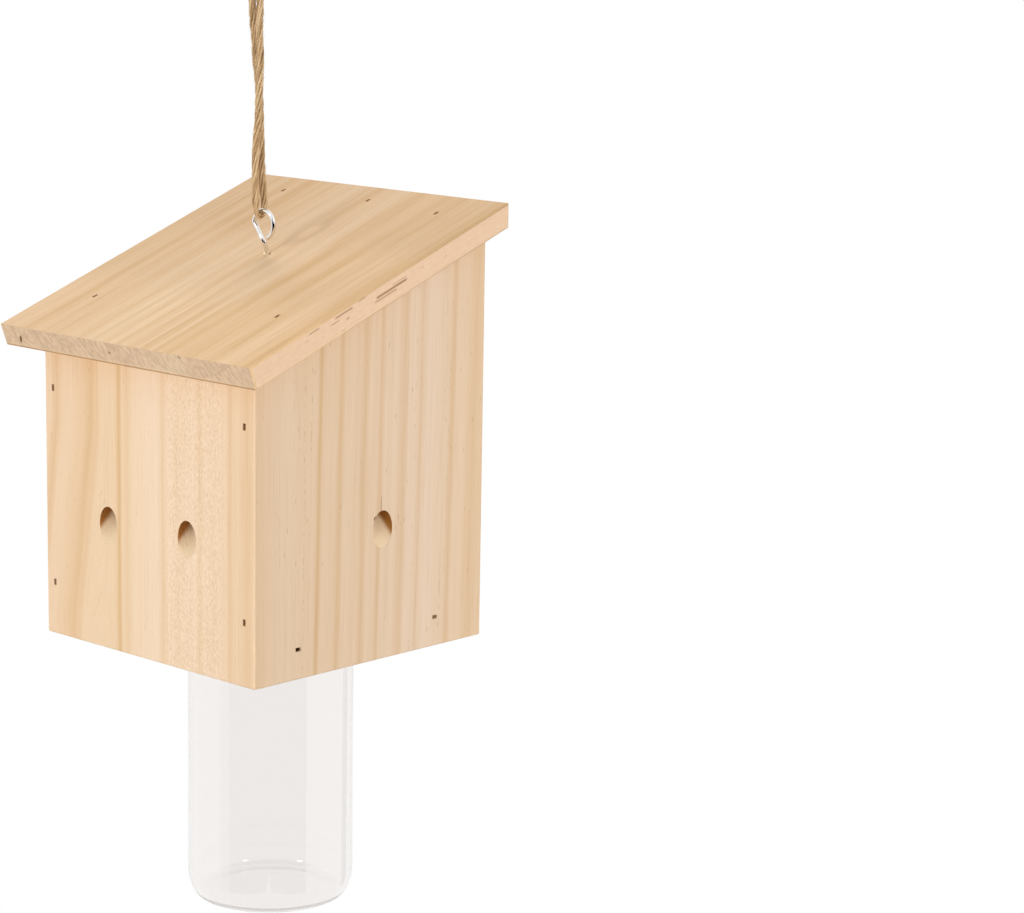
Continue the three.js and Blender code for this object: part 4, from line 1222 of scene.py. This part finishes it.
chips = {
    "places": [  # turn round the foot, reach, length, lean
        (-150, 1.5, 1.5, 40), (-105, 1.35, 1.0, 20), (-40, 1.5, 1.7, -35), (20, 1.4, 1.1, 50),
        (110, 1.4, 1.2, -20),
    ],
    "width": 0.7,
    "thickness": 0.3,
    "lift": 0.2,
    "bevel": 0.06,
}


def makeChips(given):
    # splinters that the eye's thread raised
    foot = Vector((*screwEye["foot"], roofTop(screwEye["foot"][1])))
    tilt = Matrix.Rotation(slope, 3, "X")
    bm = bmesh.new()
    for turn, reach, length, lean in given["places"]:
        made = bmesh.ops.create_cube(bm, size=mm)["verts"]
        bmesh.ops.scale(bm, vec=(length, given["width"], given["thickness"]), verts=made)
        turned = tilt @ Matrix.Rotation(math.radians(turn + 90), 3, "Z") @ Matrix.Rotation(
            math.radians(lean), 3, "Y")
        bmesh.ops.rotate(bm, cent=(0, 0, 0), matrix=turned, verts=made)
        aside = tilt @ roundPoint((0, 0), turn, reach, given["lift"])
        bmesh.ops.translate(bm, vec=place(*(foot + aside)), verts=made)
    bmesh.ops.bevel(bm, geom=bm.edges[:], offset=given["bevel"] * mm, offset_type="OFFSET", segments=1,
                    profile=0.5, affect="EDGES", material=-1)
    finishPiece("wood_chips", bm, [chipWood], "house", None)


makeChips(chips)
print("screw eye")


# jar
jar = {
    "centre": (0, 4),
    "radius": 38.25,
    "bottom": -124.3,
    "wall": 0.8,
    "neckRadius": 33,
    "neckWall": 1.9,
    "neckBottom": -6.8,
    "shoulderBottom": -12.2,
    "rimTop": 5.0,
    "rimEase": [(0, -0.4), (-0.15, -0.1), (-0.4, 0)],  # the rounding of the rim's edges
    "heelWidth": 5.4,
    "heelHeight": 11.5,
    "pushUp": 3,
    "pushPower": 2.2,
    "steps": 128,
    "heelSteps": 12,
    "shoulderSteps": 10,
    "threadRadius": 0.95,
    "threadPitch": 4.2,
    "threadReach": 0.21,
    "threadTurns": 1.1,
    "threadDrop": 1.3,
    "threadSteps": 96,
}
plastic = {
    "clear": (0.945, 0.928, 0.915),
    "base": (0.925, 0.906, 0.894),  # the thick middle of the base
    "ring": (0.5, 0.46, 0.44),  # painted dark line round the foot, seen from outside, in place of the refraction at the heel
    "ringHeight": 2.2,
    "ringReach": 35.55,
    "ringSlant": 0.62,
    "ringBlur": (0.4, 1.25),
    "baseTop": (3.2, 4.4),
    "baseReach": (30, 34),
}


def makeClearPlastic(given):
    material = newMaterial("clearPlastic", given["clear"], 0.015, Transmission_Weight=1.0, IOR=1.57)
    tree = material.node_tree
    x, y, z = houseCoordinates(material)
    reach = distance(subtract(x, jar["centre"][0]), subtract(y, jar["centre"][1]))
    height = subtract(z, jar["bottom"])
    base = multiply(ease(height, *given["baseTop"], 1, 0), ease(reach, *given["baseReach"], 1, 0))
    colour = mix(base, given["clear"], given["base"])
    # painted dark line round the foot, only on faces seen from outside, standing in for the refraction at the
    # heel
    above = subtract(height, given["ringHeight"])
    outside = calc("GREATER_THAN", subtract(reach, multiply(above, given["ringSlant"])), given["ringReach"])
    behind = addNode(tree, "ShaderNodeNewGeometry").outputs["Backfacing"]
    ring = multiply(ease(calc("ABSOLUTE", above), *given["ringBlur"], 1, 0), outside, subtract(1, behind))
    tree.links.new(mix(ring, colour, given["ring"]), tree.nodes["Principled BSDF"].inputs["Base Color"])
    return material


def curve(fromAngle, toAngle, steps, middle, sizes):
    points = []
    for n in range(steps + 1):
        angle = math.radians(fromAngle + (toAngle - fromAngle) * n / steps)
        points.append((middle[0] + math.cos(angle) * sizes[0], middle[1] + math.sin(angle) * sizes[1]))
    return points


def spinProfile(bm, profile, centre, steps):
    # a closed outline turned about the upright through centre
    verts = [bm.verts.new(place(centre[0] + r, centre[1], z)) for r, z in profile]
    edges = [bm.edges.new((a, b)) for a, b in zip(verts, verts[1:])]
    if profile[0][0] > 1e-6:
        edges.append(bm.edges.new((verts[-1], verts[0])))
    bmesh.ops.spin(bm, geom=verts + edges, cent=place(*centre, 0), axis=(0, 0, 1), angle=math.tau,
                   steps=steps, use_merge=True)
    bmesh.ops.remove_doubles(bm, verts=bm.verts, dist=1e-6)
    bmesh.ops.recalc_face_normals(bm, faces=bm.faces)


def makeJar(given):
    radius, neck, wall = given["radius"], given["neckRadius"], given["wall"]
    top, bottom, shoulder = given["rimTop"], given["bottom"], given["shoulderBottom"]
    wide, high, heelSteps = given["heelWidth"], given["heelHeight"], given["heelSteps"]
    foot, inside = radius - wide, neck - given["neckWall"]
    rise = given["neckBottom"] - shoulder
    base = []
    for n in range(heelSteps):
        share = n / heelSteps
        push = 0.5 + 0.5 * math.cos(math.pi * share ** given["pushPower"])
        base.append((foot * n / heelSteps, bottom + given["pushUp"] * push))
    profile = base + curve(-90, 0, heelSteps, (foot, bottom + high), (wide, high))
    profile += curve(0, 90, given["shoulderSteps"], (neck, shoulder), (radius - neck, rise))
    profile += [(neck + out, top + up) for out, up in given["rimEase"]]
    profile += [(inside - out, top + up) for out, up in reversed(given["rimEase"])]
    profile += curve(90, 0, given["shoulderSteps"], (inside, shoulder), (radius - wall - inside, rise - wall))
    profile += curve(0, -90, heelSteps, (foot, bottom + high), (wide - wall, high - wall))
    profile += [(r, z + wall) for r, z in reversed(base)]
    bm = bmesh.new()
    spinProfile(bm, profile, given["centre"], given["steps"])
    steps = given["threadSteps"]
    count = int(given["threadTurns"] * steps)
    thread = [place(*roundPoint(given["centre"], 360 * n / steps, neck + given["threadReach"],
                                -given["threadDrop"] + given["threadPitch"] * n / steps))
              for n in range(count + 1)]
    radii = [given["threadRadius"] * mm * min(1, 0.25 + min(n, count - n) / 8) for n in range(count + 1)]
    sweepTube(bm, thread, movingFrames(thread), radii, 10)
    piece = finishPiece("clear_jar", bm, [makeClearPlastic(plastic)], "jar", 50)
    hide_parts("jar")


makeJar(jar)
print("jar")


# lid
lid = {
    "inner": 34.9,
    "outer": 36.6,
    "top": 8.2,
    "under": 6.6,
    "bottom": -5.8,
    "passage": 17,
    "edge": (1.2, 0.36),  # rounding of the top edge, and how far in its middle lies
    "ribs": 90,
    "ribDepth": 0.35,
    "ribRadius": 0.62,
    "ribSink": 0.25,
    "ribEnds": (2.0, 0.6),  # how far the ribs stay from the top and the bottom
}


def makeLid(given):
    outer, top, bottom = given["outer"] - given["ribDepth"], given["top"], given["bottom"]
    edge, edgeMiddle = given["edge"]
    upper, lower = top - given["ribEnds"][0], bottom + given["ribEnds"][1]
    profile = [
        (given["passage"], given["under"]), (given["inner"], given["under"]), (given["inner"], bottom),
        (outer, bottom), (outer, top - edge), (outer - edgeMiddle, top - edgeMiddle), (outer - edge, top),
        (given["passage"], top),
    ]
    bm = bmesh.new()
    spinProfile(bm, profile, jar["centre"], jar["steps"])
    for n in range(given["ribs"]):  # grip ribs round the skirt
        made = bmesh.ops.create_cone(bm, cap_ends=True, segments=8, radius1=given["ribRadius"] * mm,
                                     radius2=given["ribRadius"] * mm, depth=(upper - lower) * mm)["verts"]
        bmesh.ops.translate(bm, verts=made, vec=place(*roundPoint(
            jar["centre"], 360 * n / given["ribs"], outer - given["ribSink"], (upper + lower) / 2)))
    piece = finishPiece("ribbed_lid", bm, [lidWhite], "house", 40)
    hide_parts("jar_lid")


makeLid(lid)
print("lid")


# pieces that keep their CAD shape
def cadMaterial(node):
    if node == "lid_liner":
        return linerFoam
    if node == "floor_brad_right_front" or "lid_screw" in node:
        return bradDark
    if "roof" in node:
        return bradRed
    return bradBrown if "front_brad_right" in node else bradRust


for node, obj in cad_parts.items():
    if "brad" in node or "lid_screw" in node or node == "lid_liner":
        obj.data.materials.clear()
        obj.data.materials.append(cadMaterial(node))
